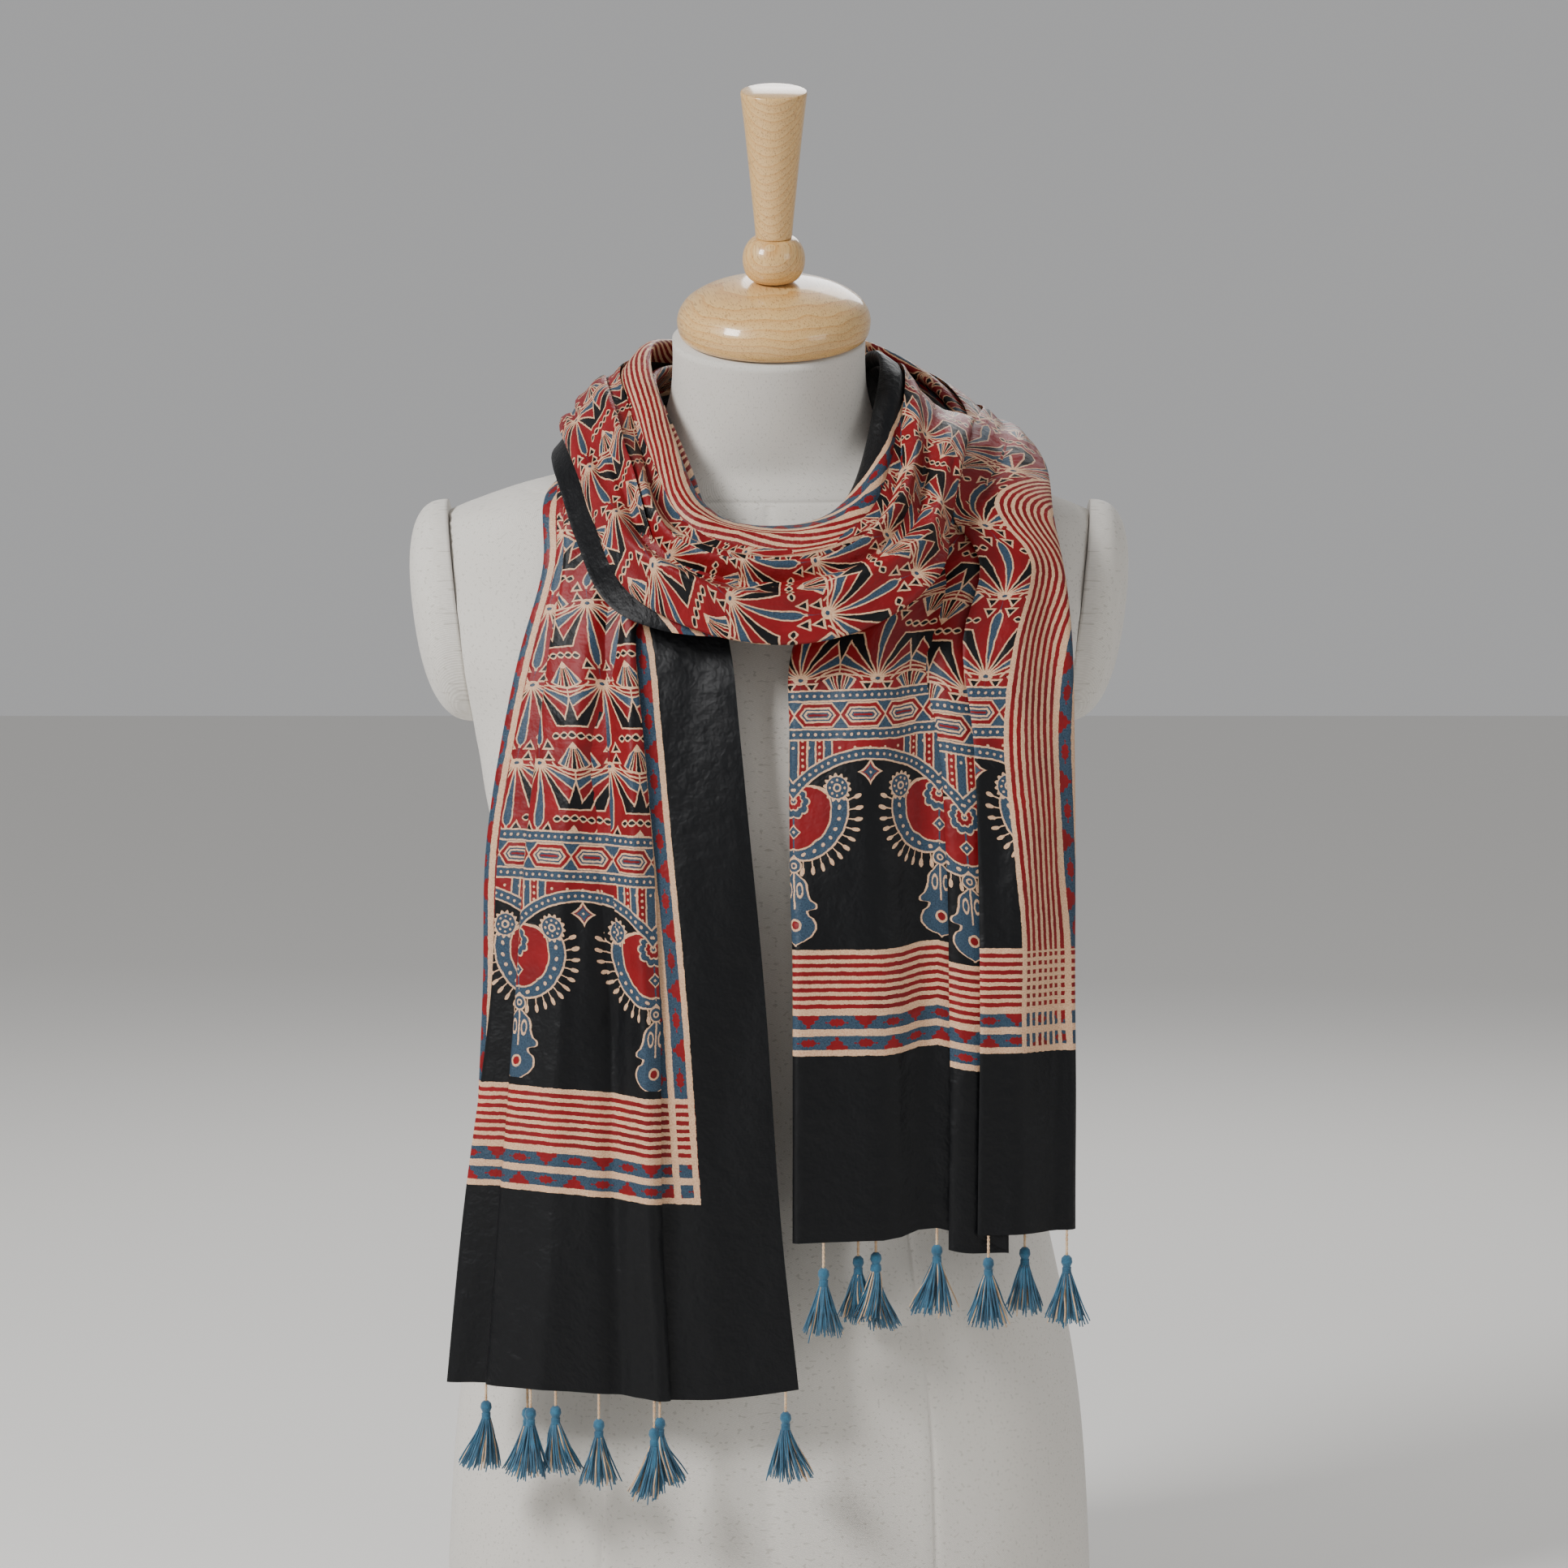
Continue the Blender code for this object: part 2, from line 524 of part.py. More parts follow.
def build():
    for ob in list(bpy.data.objects):
        bpy.data.objects.remove(ob)
    canvas = plain_material("form_canvas", (0.58, 0.55, 0.50), 0.9)
    wood = plain_material("lacquered_wood", (0.68, 0.42, 0.17), 0.35)
    print_cloth = plain_material("printed_cloth", (0.20, 0.03, 0.035), 0.55)
    yarn = plain_material("tassel_yarn", (0.03, 0.13, 0.22), 0.8)

    torso = add_object("torso", form_mesh(), canvas)
    add_object("arm_left", arm_mesh(-1), canvas)
    add_object("arm_right", arm_mesh(1), canvas)
    add_object("neck_cap", turned_mesh(NECK_CAP), wood)
    add_object("ball", turned_mesh(BALL), wood)
    add_object("handle", turned_mesh(HANDLE), wood)

    graph = bpy.context.evaluated_depsgraph_get()
    body = BVHTree.FromObject(torso, graph)
    points, places, along = cloth_grid(body, COLUMNS, 1.0)
    add_object("scarf", cloth_mesh(points), print_cloth)
    print("cloth length", round(float(along[-1])), "rows", points.shape[0], "columns", points.shape[1])

    for end, row, table in (("a", 0, LEFT_TASSELS), ("b", -1, RIGHT_TASSELS)):
        for k, (thread, spread, lean_x, lean_y) in enumerate(table):
            where = TASSEL_EDGE + TASSEL_STEP * k
            top = np.array([np.interp(where, places[row], points[row, :, axis]) for axis in range(3)])
            top[2] -= TASSEL_DROP
            mesh = tassel_mesh(top, thread, spread, (lean_x, lean_y), 10 * k + (end == "b"))
            add_object(f"tassel_{end}{k + 1}", mesh, yarn)


build()
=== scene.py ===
# %% [markdown]
# An ajrakh stole on a dress form. Ajrakh is cotton or silk that is block printed by hand with a resist,
# then dyed in madder red and indigo, so every colour meets the next along a thin undyed cream line. The
# stole is two metres long and half a metre wide, folded lengthwise and wound round the neck. The solids
# of the model give the sizes. This script gives each of them its finished surface: the cloth is worked
# out again on a finer grid and printed with a pattern that is drawn by nodes, in millimetres of cloth.
# %% Load the solids
import math

import bpy
import numpy as np
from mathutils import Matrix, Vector
from mathutils.bvhtree import BVHTree


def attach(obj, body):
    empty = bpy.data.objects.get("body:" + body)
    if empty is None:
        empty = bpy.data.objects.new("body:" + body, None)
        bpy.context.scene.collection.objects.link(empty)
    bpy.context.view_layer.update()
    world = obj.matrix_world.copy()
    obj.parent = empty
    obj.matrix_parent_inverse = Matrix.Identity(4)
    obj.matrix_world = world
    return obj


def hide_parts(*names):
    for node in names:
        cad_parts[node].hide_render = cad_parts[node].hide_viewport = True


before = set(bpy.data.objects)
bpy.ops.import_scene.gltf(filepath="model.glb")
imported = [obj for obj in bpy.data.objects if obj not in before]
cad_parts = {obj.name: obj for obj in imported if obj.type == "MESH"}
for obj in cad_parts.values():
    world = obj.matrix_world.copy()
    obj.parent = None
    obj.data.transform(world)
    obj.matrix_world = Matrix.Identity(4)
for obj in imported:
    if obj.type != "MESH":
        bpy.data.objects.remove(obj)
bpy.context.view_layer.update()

MM = 0.001
print("solids:", sorted(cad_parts))

# %% [markdown]
# The camera stands as far off as the photograph's perspective asks, level with the chest, and looks very
# slightly down. A long lens keeps the form's shoulders and waist in their true proportion.
# %% Camera
camera_data = bpy.data.cameras.new("camera")
camera_data.lens = 106.4
camera_data.sensor_width = 36.0
camera = bpy.data.objects.new("camera", camera_data)
camera.location = (0.009, -2.8, 0.687)
camera.rotation_euler = (math.radians(90 - 3.5), 0, 0)
bpy.context.scene.collection.objects.link(camera)
bpy.context.scene.camera = camera
print("camera at", tuple(round(v, 3) for v in camera.location))

# %% [markdown]
# Dye colours are written as the sRGB hex values that a printer would pick from a chart. Shaders work in
# linear light, so one function turns a hex value into linear numbers.
# %% Colours


def linear(hex_colour):
    """Linear RGBA of an sRGB hex colour: c/12.92 below 0.04045, else ((c + 0.055)/1.055) to the power
    2.4."""
    channels = np.array([int(hex_colour[k : k + 2], 16) / 255 for k in (1, 3, 5)])
    low = channels / 12.92
    high = ((channels + 0.055) / 1.055) ** 2.4
    return (*np.where(channels <= 0.04045, low, high).tolist(), 1.0)


MADDER = linear("#881017")
MADDER_DEEP = linear("#6a0a10")
CREAM = linear("#dcb994")
CREAM_STAINED = linear("#b06f56")
INDIGO = linear("#394e60")
INDIGO_DEEP = linear("#1a2a3c")
BLACK = linear("#050608")
# A slightly lighter black, speckled in by noise: painted sheen, the satin's faint glint put into the
# colour.
BLACK_PAINTED_SHEEN = linear("#0a0b10")

# %% [markdown]
# A material is a tree of nodes. One small function adds a node, sets it up and links it, and every
# pattern below is written with it. A sum is one Math node, so its kind is simply the name of the
# operation.
# %% The node adder


def add(tree, kind, *values, to=None, **settings):
    """Adds one node to tree. values go to its sockets in order and to={...} to named ones: each is a
    number, a colour, a socket, or a node, whose first output is taken. None leaves a socket alone."""
    made = tree.nodes.new(kind if kind.startswith("ShaderNode") else "ShaderNodeMath")
    if not kind.startswith("ShaderNode"):
        made.operation = kind
    for name, value in settings.items():
        setattr(made, name, value)
    for key, value in [*enumerate(values), *(to or {}).items()]:
        if value is None:
            continue
        if isinstance(value, bpy.types.Node):
            value = value.outputs[0]
        if isinstance(value, bpy.types.NodeSocket):
            tree.links.new(value, made.inputs[key])
        else:
            made.inputs[key].default_value = value
    return made


def finish_with(name, **constants):
    """A new material with one Principled shader whose sockets hold the constants; returns both and the
    tree."""
    material = bpy.data.materials.new(name)
    material.use_nodes = True
    tree = material.node_tree
    shader = tree.nodes["Principled BSDF"]
    for socket, value in constants.items():
        shader.inputs[socket.replace("_", " ")].default_value = value
    return material, tree, shader


# %% [markdown]
# The floor is a wide pale sheet. The light comes from three soft boxes, a strong one at the upper left,
# a weak one at the right and one behind, with a pale surround that fills the shadows.
# %% Floor and light


def studio():
    """Floor, three area lights and a pale world. None of it belongs to the part."""
    material, _, shader = finish_with("studio_floor", Roughness=0.9)
    shader.inputs["Base Color"].default_value = linear("#eceae6")
    floor_mesh = bpy.data.meshes.new("floor")
    reach = 12.0
    corners = [(-reach, -reach, 0), (reach, -reach, 0), (reach, reach, 0), (-reach, reach, 0)]
    floor_mesh.from_pydata(corners, [], [(0, 1, 2, 3)])
    floor = bpy.data.objects.new("floor", floor_mesh)
    floor.data.materials.append(material)
    bpy.context.scene.collection.objects.link(floor)
    for name, place, size, power in (
        ("key_light", (-1.7, -1.5, 1.9), 0.7, 74.0),
        ("fill_light", (2.0, -1.7, 1.2), 1.0, 9.0),
        ("back_light", (0.4, 2.2, 2.2), 1.2, 26.0),
    ):
        data = bpy.data.lights.new(name, "AREA")
        data.shape = "SQUARE"
        data.size = size
        data.energy = power
        light = bpy.data.objects.new(name, data)
        light.location = place
        light.rotation_euler = (Vector((0, 0, 0.55)) - Vector(place)).to_track_quat("-Z", "Y").to_euler()
        bpy.context.scene.collection.objects.link(light)
    world = bpy.data.worlds.new("surround")
    world.use_nodes = True
    world.node_tree.nodes["Background"].inputs["Color"].default_value = linear("#e9e9ea")
    world.node_tree.nodes["Background"].inputs["Strength"].default_value = 0.5
    bpy.context.scene.world = world


studio()

# %% [markdown]
# Most shapes below are a grid of points, so one function makes a mesh from a grid. It can close the
# grid round its columns, as on a body, and put a cap on each end. The places of its points on the flat
# material, in metres, are kept as a UV map, so that a weave or a print follows the surface.
# %% From a grid to a mesh


def link_piece(name, mesh, *materials):
    """A new object at the origin with that mesh, smooth, with its materials."""
    piece = bpy.data.objects.new(name, mesh)
    for material in materials:
        mesh.materials.append(material)
    bpy.context.scene.collection.objects.link(piece)
    mesh.shade_smooth()
    return piece


def mesh_of(name, verts, quads, flat=None, triangles=None):
    """Mesh from points in millimetres and corner numbers; flat is each point's place on the flat
    material."""
    faces = [tuple(f) for f in np.asarray(quads, int).tolist()]
    faces += [tuple(f) for f in np.asarray(triangles, int).tolist()] if triangles is not None else []
    mesh = bpy.data.meshes.new(name)
    mesh.from_pydata((np.asarray(verts, float) * MM).tolist(), [], faces)
    if flat is not None:
        corners = np.empty(len(mesh.loops), int)
        mesh.loops.foreach_get("vertex_index", corners)
        layer = mesh.uv_layers.new(name="flat")
        layer.data.foreach_set("uv", (np.asarray(flat, float)[corners] * MM).ravel())
    mesh.validate()
    return mesh


def ring_quads(rows, sides):
    """Corner numbers of the quads between rows of points that close round, facing outward when the rows
    climb and the points go anticlockwise seen from above."""
    r, k = np.meshgrid(np.arange(rows - 1), np.arange(sides), indexing="ij")
    j = (k + 1) % sides
    low = r * sides
    high = low + sides
    return np.stack([low + k, low + j, high + j, high + k], axis=-1).reshape(-1, 4)


def end_fans(rows, sides):
    """Triangles from a middle point to the first row and from another to the last, which are the mesh's
    last two points."""
    k = np.arange(sides)
    j = (k + 1) % sides
    low = rows * sides
    first = np.stack([np.full(sides, low), j, k], axis=-1)
    last = np.stack([np.full(sides, low + 1), (rows - 1) * sides + k, (rows - 1) * sides + j], axis=-1)
    return np.concatenate([first, last])


def spline(knots, values, where):
    """Smooth curve through values at knots, evaluated at where: a cubic in each span whose end slopes
    are the finite differences of its neighbours."""
    knots = np.asarray(knots, float)
    values = np.asarray(values, float)
    where = np.asarray(where, float)
    slope = np.gradient(values, knots, axis=0)
    k = np.clip(np.searchsorted(knots, where, side="right") - 1, 0, len(knots) - 2)
    shape = (-1,) + (1,) * (values.ndim - 1)
    span = (knots[k + 1] - knots[k]).reshape(shape)
    u = ((where - knots[k]) / (knots[k + 1] - knots[k])).reshape(shape)
    start = (1 + 2 * u) * (1 - u) ** 2 * values[k] + u * (1 - u) ** 2 * span * slope[k]
    return start + u * u * (3 - 2 * u) * values[k + 1] + u * u * (u - 1) * span * slope[k + 1]


# %% [markdown]
# The form is padded and covered with a fine cotton twill, a plain pale cloth whose diagonal ribs give
# it a matt, slightly grained look. Its panels are joined by seams down the front, sides and back. A
# form could be sculpted, but its maker works from a few girths, so here each height has a half width,
# two depths and a lean, and a smooth curve joins them.
# %% The form's shape

# Height, middle, half width, front depth, back depth, pitch and the power of the superellipse
FORM_ROWS = (
    (0, 8, 197, 112, 118, 0, 2.5),
    (60, 8, 195, 112, 118, 0, 2.5),
    (150, 6, 188, 108, 112, 0, 2.5),
    (245, 2, 170, 98, 98, 0, 2.4),
    (300, 0, 156, 92, 88, 0, 2.4),
    (360, -2, 149, 90, 82, 0, 2.4),
    (430, -4, 155, 96, 82, 0, 2.4),
    (507, -6, 170, 106, 86, 0, 2.4),
    (560, -4, 182, 102, 92, 0, 2.3),
    (590, -2, 200, 95, 92, 0, 2.3),
    (630, 1, 211, 82, 88, 0, 2.3),
    (660, 2, 210, 72, 80, 0, 2.3),
    (680, 2, 196, 63, 72, 0, 2.2),
    (690, 1, 172, 58, 66, 1, 2.1),
    (700, 0, 141, 55, 60, 3, 2.0),
    (708, -1, 108, 54, 56, 5, 2.0),
    (717, -3, 84, 55, 54, 7, 2.0),
    (730, -7, 68, 56, 54, 10, 2.0),
    (748, -14, 60, 56, 54, 14, 2.0),
    (768, -22, 57.5, 56, 55, 18, 2.0),
    (784, -29, 57.5, 56, 56, 19, 2.0),
)
ARMHOLE_X = 177.0
ARMHOLE_Z = 554.0
ARMHOLE_SLOPE = 0.119
ARMHOLE_CUT = (544.0, 694.0)
NECK_SEAM = 700.0
NECK_SEAM_TILT = 14.0
# Seams as angles round the form, from its right side: princess seams, centre front, sides and centre back
SEAMS = (-180.0, -115.5, -90.0, -64.5, 0.0, 64.5, 90.0, 115.5)
SEAM_OFFSETS = (-2.4, -1.1, 0.0, 1.1, 2.4)
SEAM_DEPTH = 1.1


def form_surface():
    """Points round and up the form. At height z and angle a the section is the superellipse x = w |cos
    a|^(2/p), y = d |sin a|^(2/p), leaned forward by its pitch; a seam sinks it by a narrow bell. The
    rows near the neck's seam tilt with it, down at the front."""
    table = np.array(FORM_ROWS, float)
    near_seam = NECK_SEAM + np.array(SEAM_OFFSETS)
    heights = np.unique(np.concatenate([np.linspace(0, 784, 170), near_seam]))[:, None]
    around = np.linspace(-180, 180, 144, endpoint=False)
    seams = np.add.outer(SEAMS, np.array(SEAM_OFFSETS) * 0.4).ravel()
    angle = np.unique(np.round(np.concatenate([around, (seams + 180) % 360 - 180]), 3))
    c = np.cos(np.radians(angle))
    s = np.sin(np.radians(angle))
    tilted = heights + NECK_SEAM_TILT * s * np.exp(-(((heights - NECK_SEAM) / 42) ** 2))
    rows = spline(table[:, 0], table, tilted.ravel()).reshape(*tilted.shape, -1)
    z, y, half, front, back, pitch, power = np.moveaxis(rows, -1, 0)
    depth = np.where(s < 0, front, back)
    x = half * np.sign(c) * np.abs(c) ** (2 / power)
    d = depth * np.sign(s) * np.abs(s) ** (2 / power)
    sink = np.exp(-(((angle[:, None] - np.array(SEAMS)) / 0.5) ** 2)).max(axis=1) * (heights < NECK_SEAM)
    sink = np.maximum(sink, np.exp(-(((heights - NECK_SEAM) / 1.2) ** 2))) * SEAM_DEPTH
    radius = np.hypot(x, d)
    x = x * (1 - sink / radius)
    d = d * (1 - sink / radius)
    lean = np.radians(pitch)
    points = np.stack([x, y + d * np.cos(lean), z + d * np.sin(lean)], axis=-1)
    limit = ARMHOLE_X + ARMHOLE_SLOPE * (points[..., 2] - ARMHOLE_Z)
    level = (points[..., 2] > ARMHOLE_CUT[0]) & (points[..., 2] < ARMHOLE_CUT[1])
    side = np.sign(points[..., 0])
    cut = level & (np.abs(points[..., 0]) > limit)
    points[cut, 0] = (side * limit)[cut]
    return points, angle


def form_piece():
    """The whole form as one closed mesh, with its twill's place as arc length round and height up."""
    points, angle = form_surface()
    rows, sides = points.shape[:2]
    verts = points.reshape(-1, 3)
    ends = np.array([[0, points[0, :, 1].mean(), 0], points[-1].mean(axis=0)])
    girth = np.radians(angle)[None, :] * 150 * np.ones((rows, 1))
    flat = np.stack([girth, points[..., 2]], axis=-1).reshape(-1, 2)
    flat = np.concatenate([flat, [[0, 0], [0, points[-1, :, 2].mean()]]])
    verts = np.concatenate([verts, ends])
    return mesh_of("dress_form", verts, ring_quads(rows, sides), flat, end_fans(rows, sides))


ARM_CENTRE = (0.0, 621.0)
ARM_RIM = (46.0, 67.0)
ARM_BULGE = 29.0
ARM_GAP = 0.5
ARM_POWER = 2.6


def arm_piece(side):
    """One padded arm cap: rings that shrink as (1 - u^p)^(1/p) while they stand out by u times the
    bulge."""
    steps = 22
    sides = 96
    u = np.sin(np.linspace(0, np.pi / 2, steps, endpoint=False))[:, None]
    angle = np.linspace(0, 2 * np.pi, sides, endpoint=False)[None, :] * side
    shrink = (1 - u**ARM_POWER) ** (1 / ARM_POWER)
    y = ARM_CENTRE[0] + ARM_RIM[0] * shrink * np.cos(angle)
    z = ARM_CENTRE[1] + ARM_RIM[1] * shrink * np.sin(angle)
    x = side * (ARMHOLE_X + ARMHOLE_SLOPE * (z - ARMHOLE_Z) + ARM_GAP + ARM_BULGE * u)
    points = np.stack([x, y, z], axis=-1).reshape(-1, 3)
    middle = ARMHOLE_X + ARMHOLE_SLOPE * (ARM_CENTRE[1] - ARMHOLE_Z) + ARM_GAP
    ends = np.array([[side * middle, *ARM_CENTRE], [side * (middle + ARM_BULGE), *ARM_CENTRE]])
    verts = np.concatenate([points, ends])
    return mesh_of("arm_cap", verts, ring_quads(steps, sides), verts[:, 1:], end_fans(steps, sides))


# %% [markdown]
# Cotton twill: undyed, matt, with fine diagonal ribs about a third of a millimetre apart. They are
# drawn at 1.1 mm here so that they show at this size, as a bump and a slight change of colour, with
# darker slubs.
# %% Form canvas material


def cotton_twill_canvas():
    """The canvas of the form; its threads, ribs and slubs lie on the flat places of each panel."""
    material, tree, shader = finish_with("cotton_twill_canvas", Roughness=0.92)
    flat = add(tree, "ShaderNodeUVMap", uv_map="flat")
    place = add(tree, "ShaderNodeSeparateXYZ", flat)
    across, up = place.outputs[0], place.outputs[1]
    rib_pitch = 1.1 * MM
    diagonal = add(tree, "MULTIPLY_ADD", across, 0.8, up)
    rib = add(tree, "SINE", add(tree, "MULTIPLY", diagonal, 2 * math.pi / rib_pitch))
    thread = add(tree, "ShaderNodeTexNoise", flat, to={"Scale": 1400.0, "Detail": 2.0, "Roughness": 0.6})
    cloud = add(tree, "ShaderNodeTexNoise", to={"Scale": 9.0, "Detail": 3.0})
    lumps = add(tree, "ShaderNodeTexNoise", flat, to={"Scale": 520.0, "Detail": 0.0})
    slub = add(tree, "GREATER_THAN", lumps, 0.71)
    shade = add(tree, "MULTIPLY_ADD", rib, 0.10, add(tree, "MULTIPLY", thread, 0.9))
    shade = add(tree, "MULTIPLY_ADD", cloud, 0.35, shade)
    tone = add(tree, "ShaderNodeMixRGB", add(tree, "SUBTRACT", shade, 0.12, use_clamp=True))
    tone.inputs[1].default_value = linear("#c4bfb6")
    tone.inputs[2].default_value = linear("#e4e0d9")
    speck = add(tree, "ShaderNodeMixRGB", add(tree, "MULTIPLY", slub, 0.35), tone, linear("#8f897d"))
    tree.links.new(speck.outputs[0], shader.inputs["Base Color"])
    height = add(tree, "MULTIPLY_ADD", thread, 0.8, add(tree, "MULTIPLY", rib, 0.5))
    bump = add(tree, "ShaderNodeBump", to={"Strength": 0.35, "Distance": 0.0003, "Height": height})
    tree.links.new(bump.outputs[0], shader.inputs["Normal"])
    shader.inputs["Sheen Weight"].default_value = 0.15
    shader.inputs["Sheen Roughness"].default_value = 0.5
    return material


canvas = cotton_twill_canvas()
form = link_piece("dress_form", form_piece(), canvas)
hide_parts("torso")
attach(form, "root")
for side, node in ((-1, "arm_left"), (1, "arm_right")):
    arm = link_piece(f"{node}_cap", arm_piece(side), canvas)
    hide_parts(node)
    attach(arm, "root")
print("form:", len(form.data.polygons), "faces")

# %% [markdown]
# The neck is closed by turned pieces of pale rubberwood: a bun-shaped cap, a ball and a long tapered
# handle. Turned work is a profile carried round an axis, so each piece is one smooth profile. The axis
# leans forward with the neck.
# %% Turned wood

NECK_TOP = (3.0, -29.0, 784.0)
NECK_PITCH = 19.0
# Radius, and height above the neck's top face
NECK_CAP = (
    (51.0, 0.4),
    (54.6, 1.4),
    (56.6, 4.0),
    (57.6, 9.0),
    (57.4, 13.0),
    (55.6, 17.6),
    (51.0, 23.0),
    (40.0, 29.0),
    (24.0, 33.0),
    (10.0, 34.6),
)
BALL = (
    (9.4, 34.9),
    (13.0, 35.9),
    (16.0, 38.6),
    (17.9, 43.0),
    (18.6, 48.3),
    (17.8, 53.6),
    (15.6, 58.0),
    (12.8, 60.8),
    (10.2, 61.7),
)
HANDLE = (
    (10.4, 61.9),
    (10.9, 62.8),
    (11.5, 70.0),
    (13.6, 92.0),
    (16.6, 122.0),
    (19.2, 145.0),
    (19.5, 147.6),
    (19.2, 149.2),
    (18.2, 149.7),
)
TURNED_SIDES = 96


def turned_piece(name, profile):
    """A solid of revolution: at angle a and height h, base + h axis + r(h) (cos a x + sin a y')."""
    lean = math.radians(NECK_PITCH)
    axis = np.array([0, -math.sin(lean), math.cos(lean)])
    across = np.array([0, math.cos(lean), math.sin(lean)])
    knots = np.arange(len(profile), dtype=float)
    fine = spline(knots, np.array(profile), np.linspace(0, knots[-1], 8 * len(profile)))
    radius = fine[:, 0][:, None, None]
    height = fine[:, 1][:, None, None]
    angle = np.linspace(0, 2 * np.pi, TURNED_SIDES, endpoint=False)[None, :, None]
    outward = np.cos(angle) * np.array([1, 0, 0]) + np.sin(angle) * across
    points = np.array(NECK_TOP) + height * axis + radius * outward
    rows = len(fine)
    ends = np.array([points[0].mean(axis=0), points[-1].mean(axis=0)])
    verts = np.concatenate([points.reshape(-1, 3), ends])
    mesh = mesh_of(name, verts, ring_quads(rows, TURNED_SIDES), None, end_fans(rows, TURNED_SIDES))
    mesh.set_sharp_from_angle(angle=math.radians(50))
    return mesh


# %% [markdown]
# Lacquered rubberwood: honey coloured, with darker growth rings, short brown pores along the grain, and
# a clear glossy coat. The rings are cylinders about the tree's pith, so the same rule gives straight
# grain on the handle, cut along the trunk, and ovals on the cap, cut across it.
# %% Wood material


def lacquered_rubberwood(name, grain_turn, ring_pitch, pith):
    """grain_turn tilts the trunk's axis from the part's Z; pith is how far the tree's middle lies to
    the side; ring_pitch is the distance between growth rings, all in degrees or metres."""
    material, tree, shader = finish_with(name, Roughness=0.42)
    shader.inputs["Coat Weight"].default_value = 0.7
    shader.inputs["Coat Roughness"].default_value = 0.1
    shader.inputs["Coat IOR"].default_value = 1.5
    place = add(tree, "ShaderNodeTexCoord").outputs["Object"]
    shift = tuple(-p for p in pith)
    turn = tuple(math.radians(a) for a in grain_turn)
    turned = add(tree, "ShaderNodeMapping", place, shift, turn)
    drift = add(tree, "ShaderNodeTexNoise", turned, to={"Scale": 22.0, "Detail": 2.0})
    split = add(tree, "ShaderNodeSeparateXYZ", turned)
    x, y = split.outputs[0], split.outputs[1]
    radius = add(tree, "POWER", add(tree, "MULTIPLY_ADD", x, x, add(tree, "MULTIPLY", y, y)), 0.5)
    wavy = add(tree, "MULTIPLY_ADD", drift, 3.0 * ring_pitch, radius)
    ring = add(tree, "FRACT", add(tree, "DIVIDE", wavy, ring_pitch))
    fibre_place = add(tree, "ShaderNodeVectorMath", turned, (900.0, 900.0, 40.0), operation="MULTIPLY")
    fibre_look = {"Scale": 1.0, "Detail": 3.0, "Roughness": 0.65}
    fibre = add(tree, "ShaderNodeTexNoise", fibre_place, to=fibre_look)
    pore_place = add(tree, "ShaderNodeVectorMath", turned, (1600.0, 1600.0, 110.0), operation="MULTIPLY")
    pore = add(tree, "ShaderNodeTexNoise", pore_place, to={"Scale": 1.0, "Detail": 0.0})
    band = add(tree, "ShaderNodeValToRGB", ring)
    band.color_ramp.elements[0].color = linear("#e3bf80")
    band.color_ramp.elements[1].color = linear("#cf9c58")
    middle = band.color_ramp.elements.new(0.72)
    middle.color = linear("#dcb374")
    fibrous = add(tree, "MULTIPLY_ADD", fibre, 1.2, -0.35, use_clamp=True)
    tinted = add(tree, "ShaderNodeMixRGB", fibrous, band, linear("#c8924f"))
    dark = add(tree, "MULTIPLY", add(tree, "GREATER_THAN", pore, 0.66), 0.55)
    final = add(tree, "ShaderNodeMixRGB", dark, tinted, linear("#8d5f31"))
    tree.links.new(final.outputs[0], shader.inputs["Base Color"])
    bump = add(tree, "ShaderNodeBump", to={"Strength": 0.12, "Distance": 0.0002, "Height": fibre})
    tree.links.new(bump.outputs[0], shader.inputs["Normal"])
    return material


straight_grain = lacquered_rubberwood("lacquered_rubberwood_along", (19, 0, 4), 0.0034, (0.05, 0.01, 0.0))
end_grain = lacquered_rubberwood("lacquered_rubberwood_across", (72, 12, 0), 0.0042, (0.026, 0.79, 0.045))
for name, profile, node, wood in (
    ("turned_cap", NECK_CAP, "neck_cap", end_grain),
    ("turned_ball", BALL, "ball", straight_grain),
    ("turned_handle", HANDLE, "handle", straight_grain),
):
    turned = link_piece(name, turned_piece(name, profile), wood)
    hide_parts(node)
    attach(turned, "root")
    print(name, len(turned.data.polygons), "faces")

# %% [markdown]
# The stole hangs in many layers. Before it was put on it was folded lengthwise, so at every place along
# it the cloth's section is one zigzag through fourteen folds, some of them flat for a while. A cloth
# simulation could drape it, but it would lose the folds that show, so the drape is given station by
# station: each station along the cloth says where its two edges run and where the folds lie between
# them. Smooth curves join the stations.
# %% The drape's table

CLOTH_WIDTH = 520.0
CLOTH_LENGTH = 2178.0
THICKNESS = 0.7
CLEAR = 2.6
FOLDS = ("i0", "i1", "i2", "t", "f1", "f2", "m1", "m2", "f3", "f4", "f5", "f6", "e1", "e2")
# Level of each layer between two folds, counted outward from the form, so no two layers share a height
LEVELS = {
    "first end": (6, 6, 6, 6, 7, 8, 8, 8, 5, 4, 3, 2, 1),
    "first turn": (3, 4, 5, 6, 7, 8, 8, 8, 5, 4, 3, 2.5, 2),
    "neck": (0, 1, 2, 6, 7, 8, 8, 8, 5, 4, 3, 3, 3),
    "right neck": (0, 1, 2, 6, 7, 8, 8, 8, 5, 4, 3, 2, 1),
    "second end": (0, 1, 2, 6, 7, 8, 9, 10, 5, 4, 3, 3, 3),
}
# Columns of the grid between the close ones at the folds, layer by layer: most where the layer shows
INNER_COLUMNS = (1, 1, 1, 9, 1, 7, 2, 8, 2, 4, 2, 2, 1)
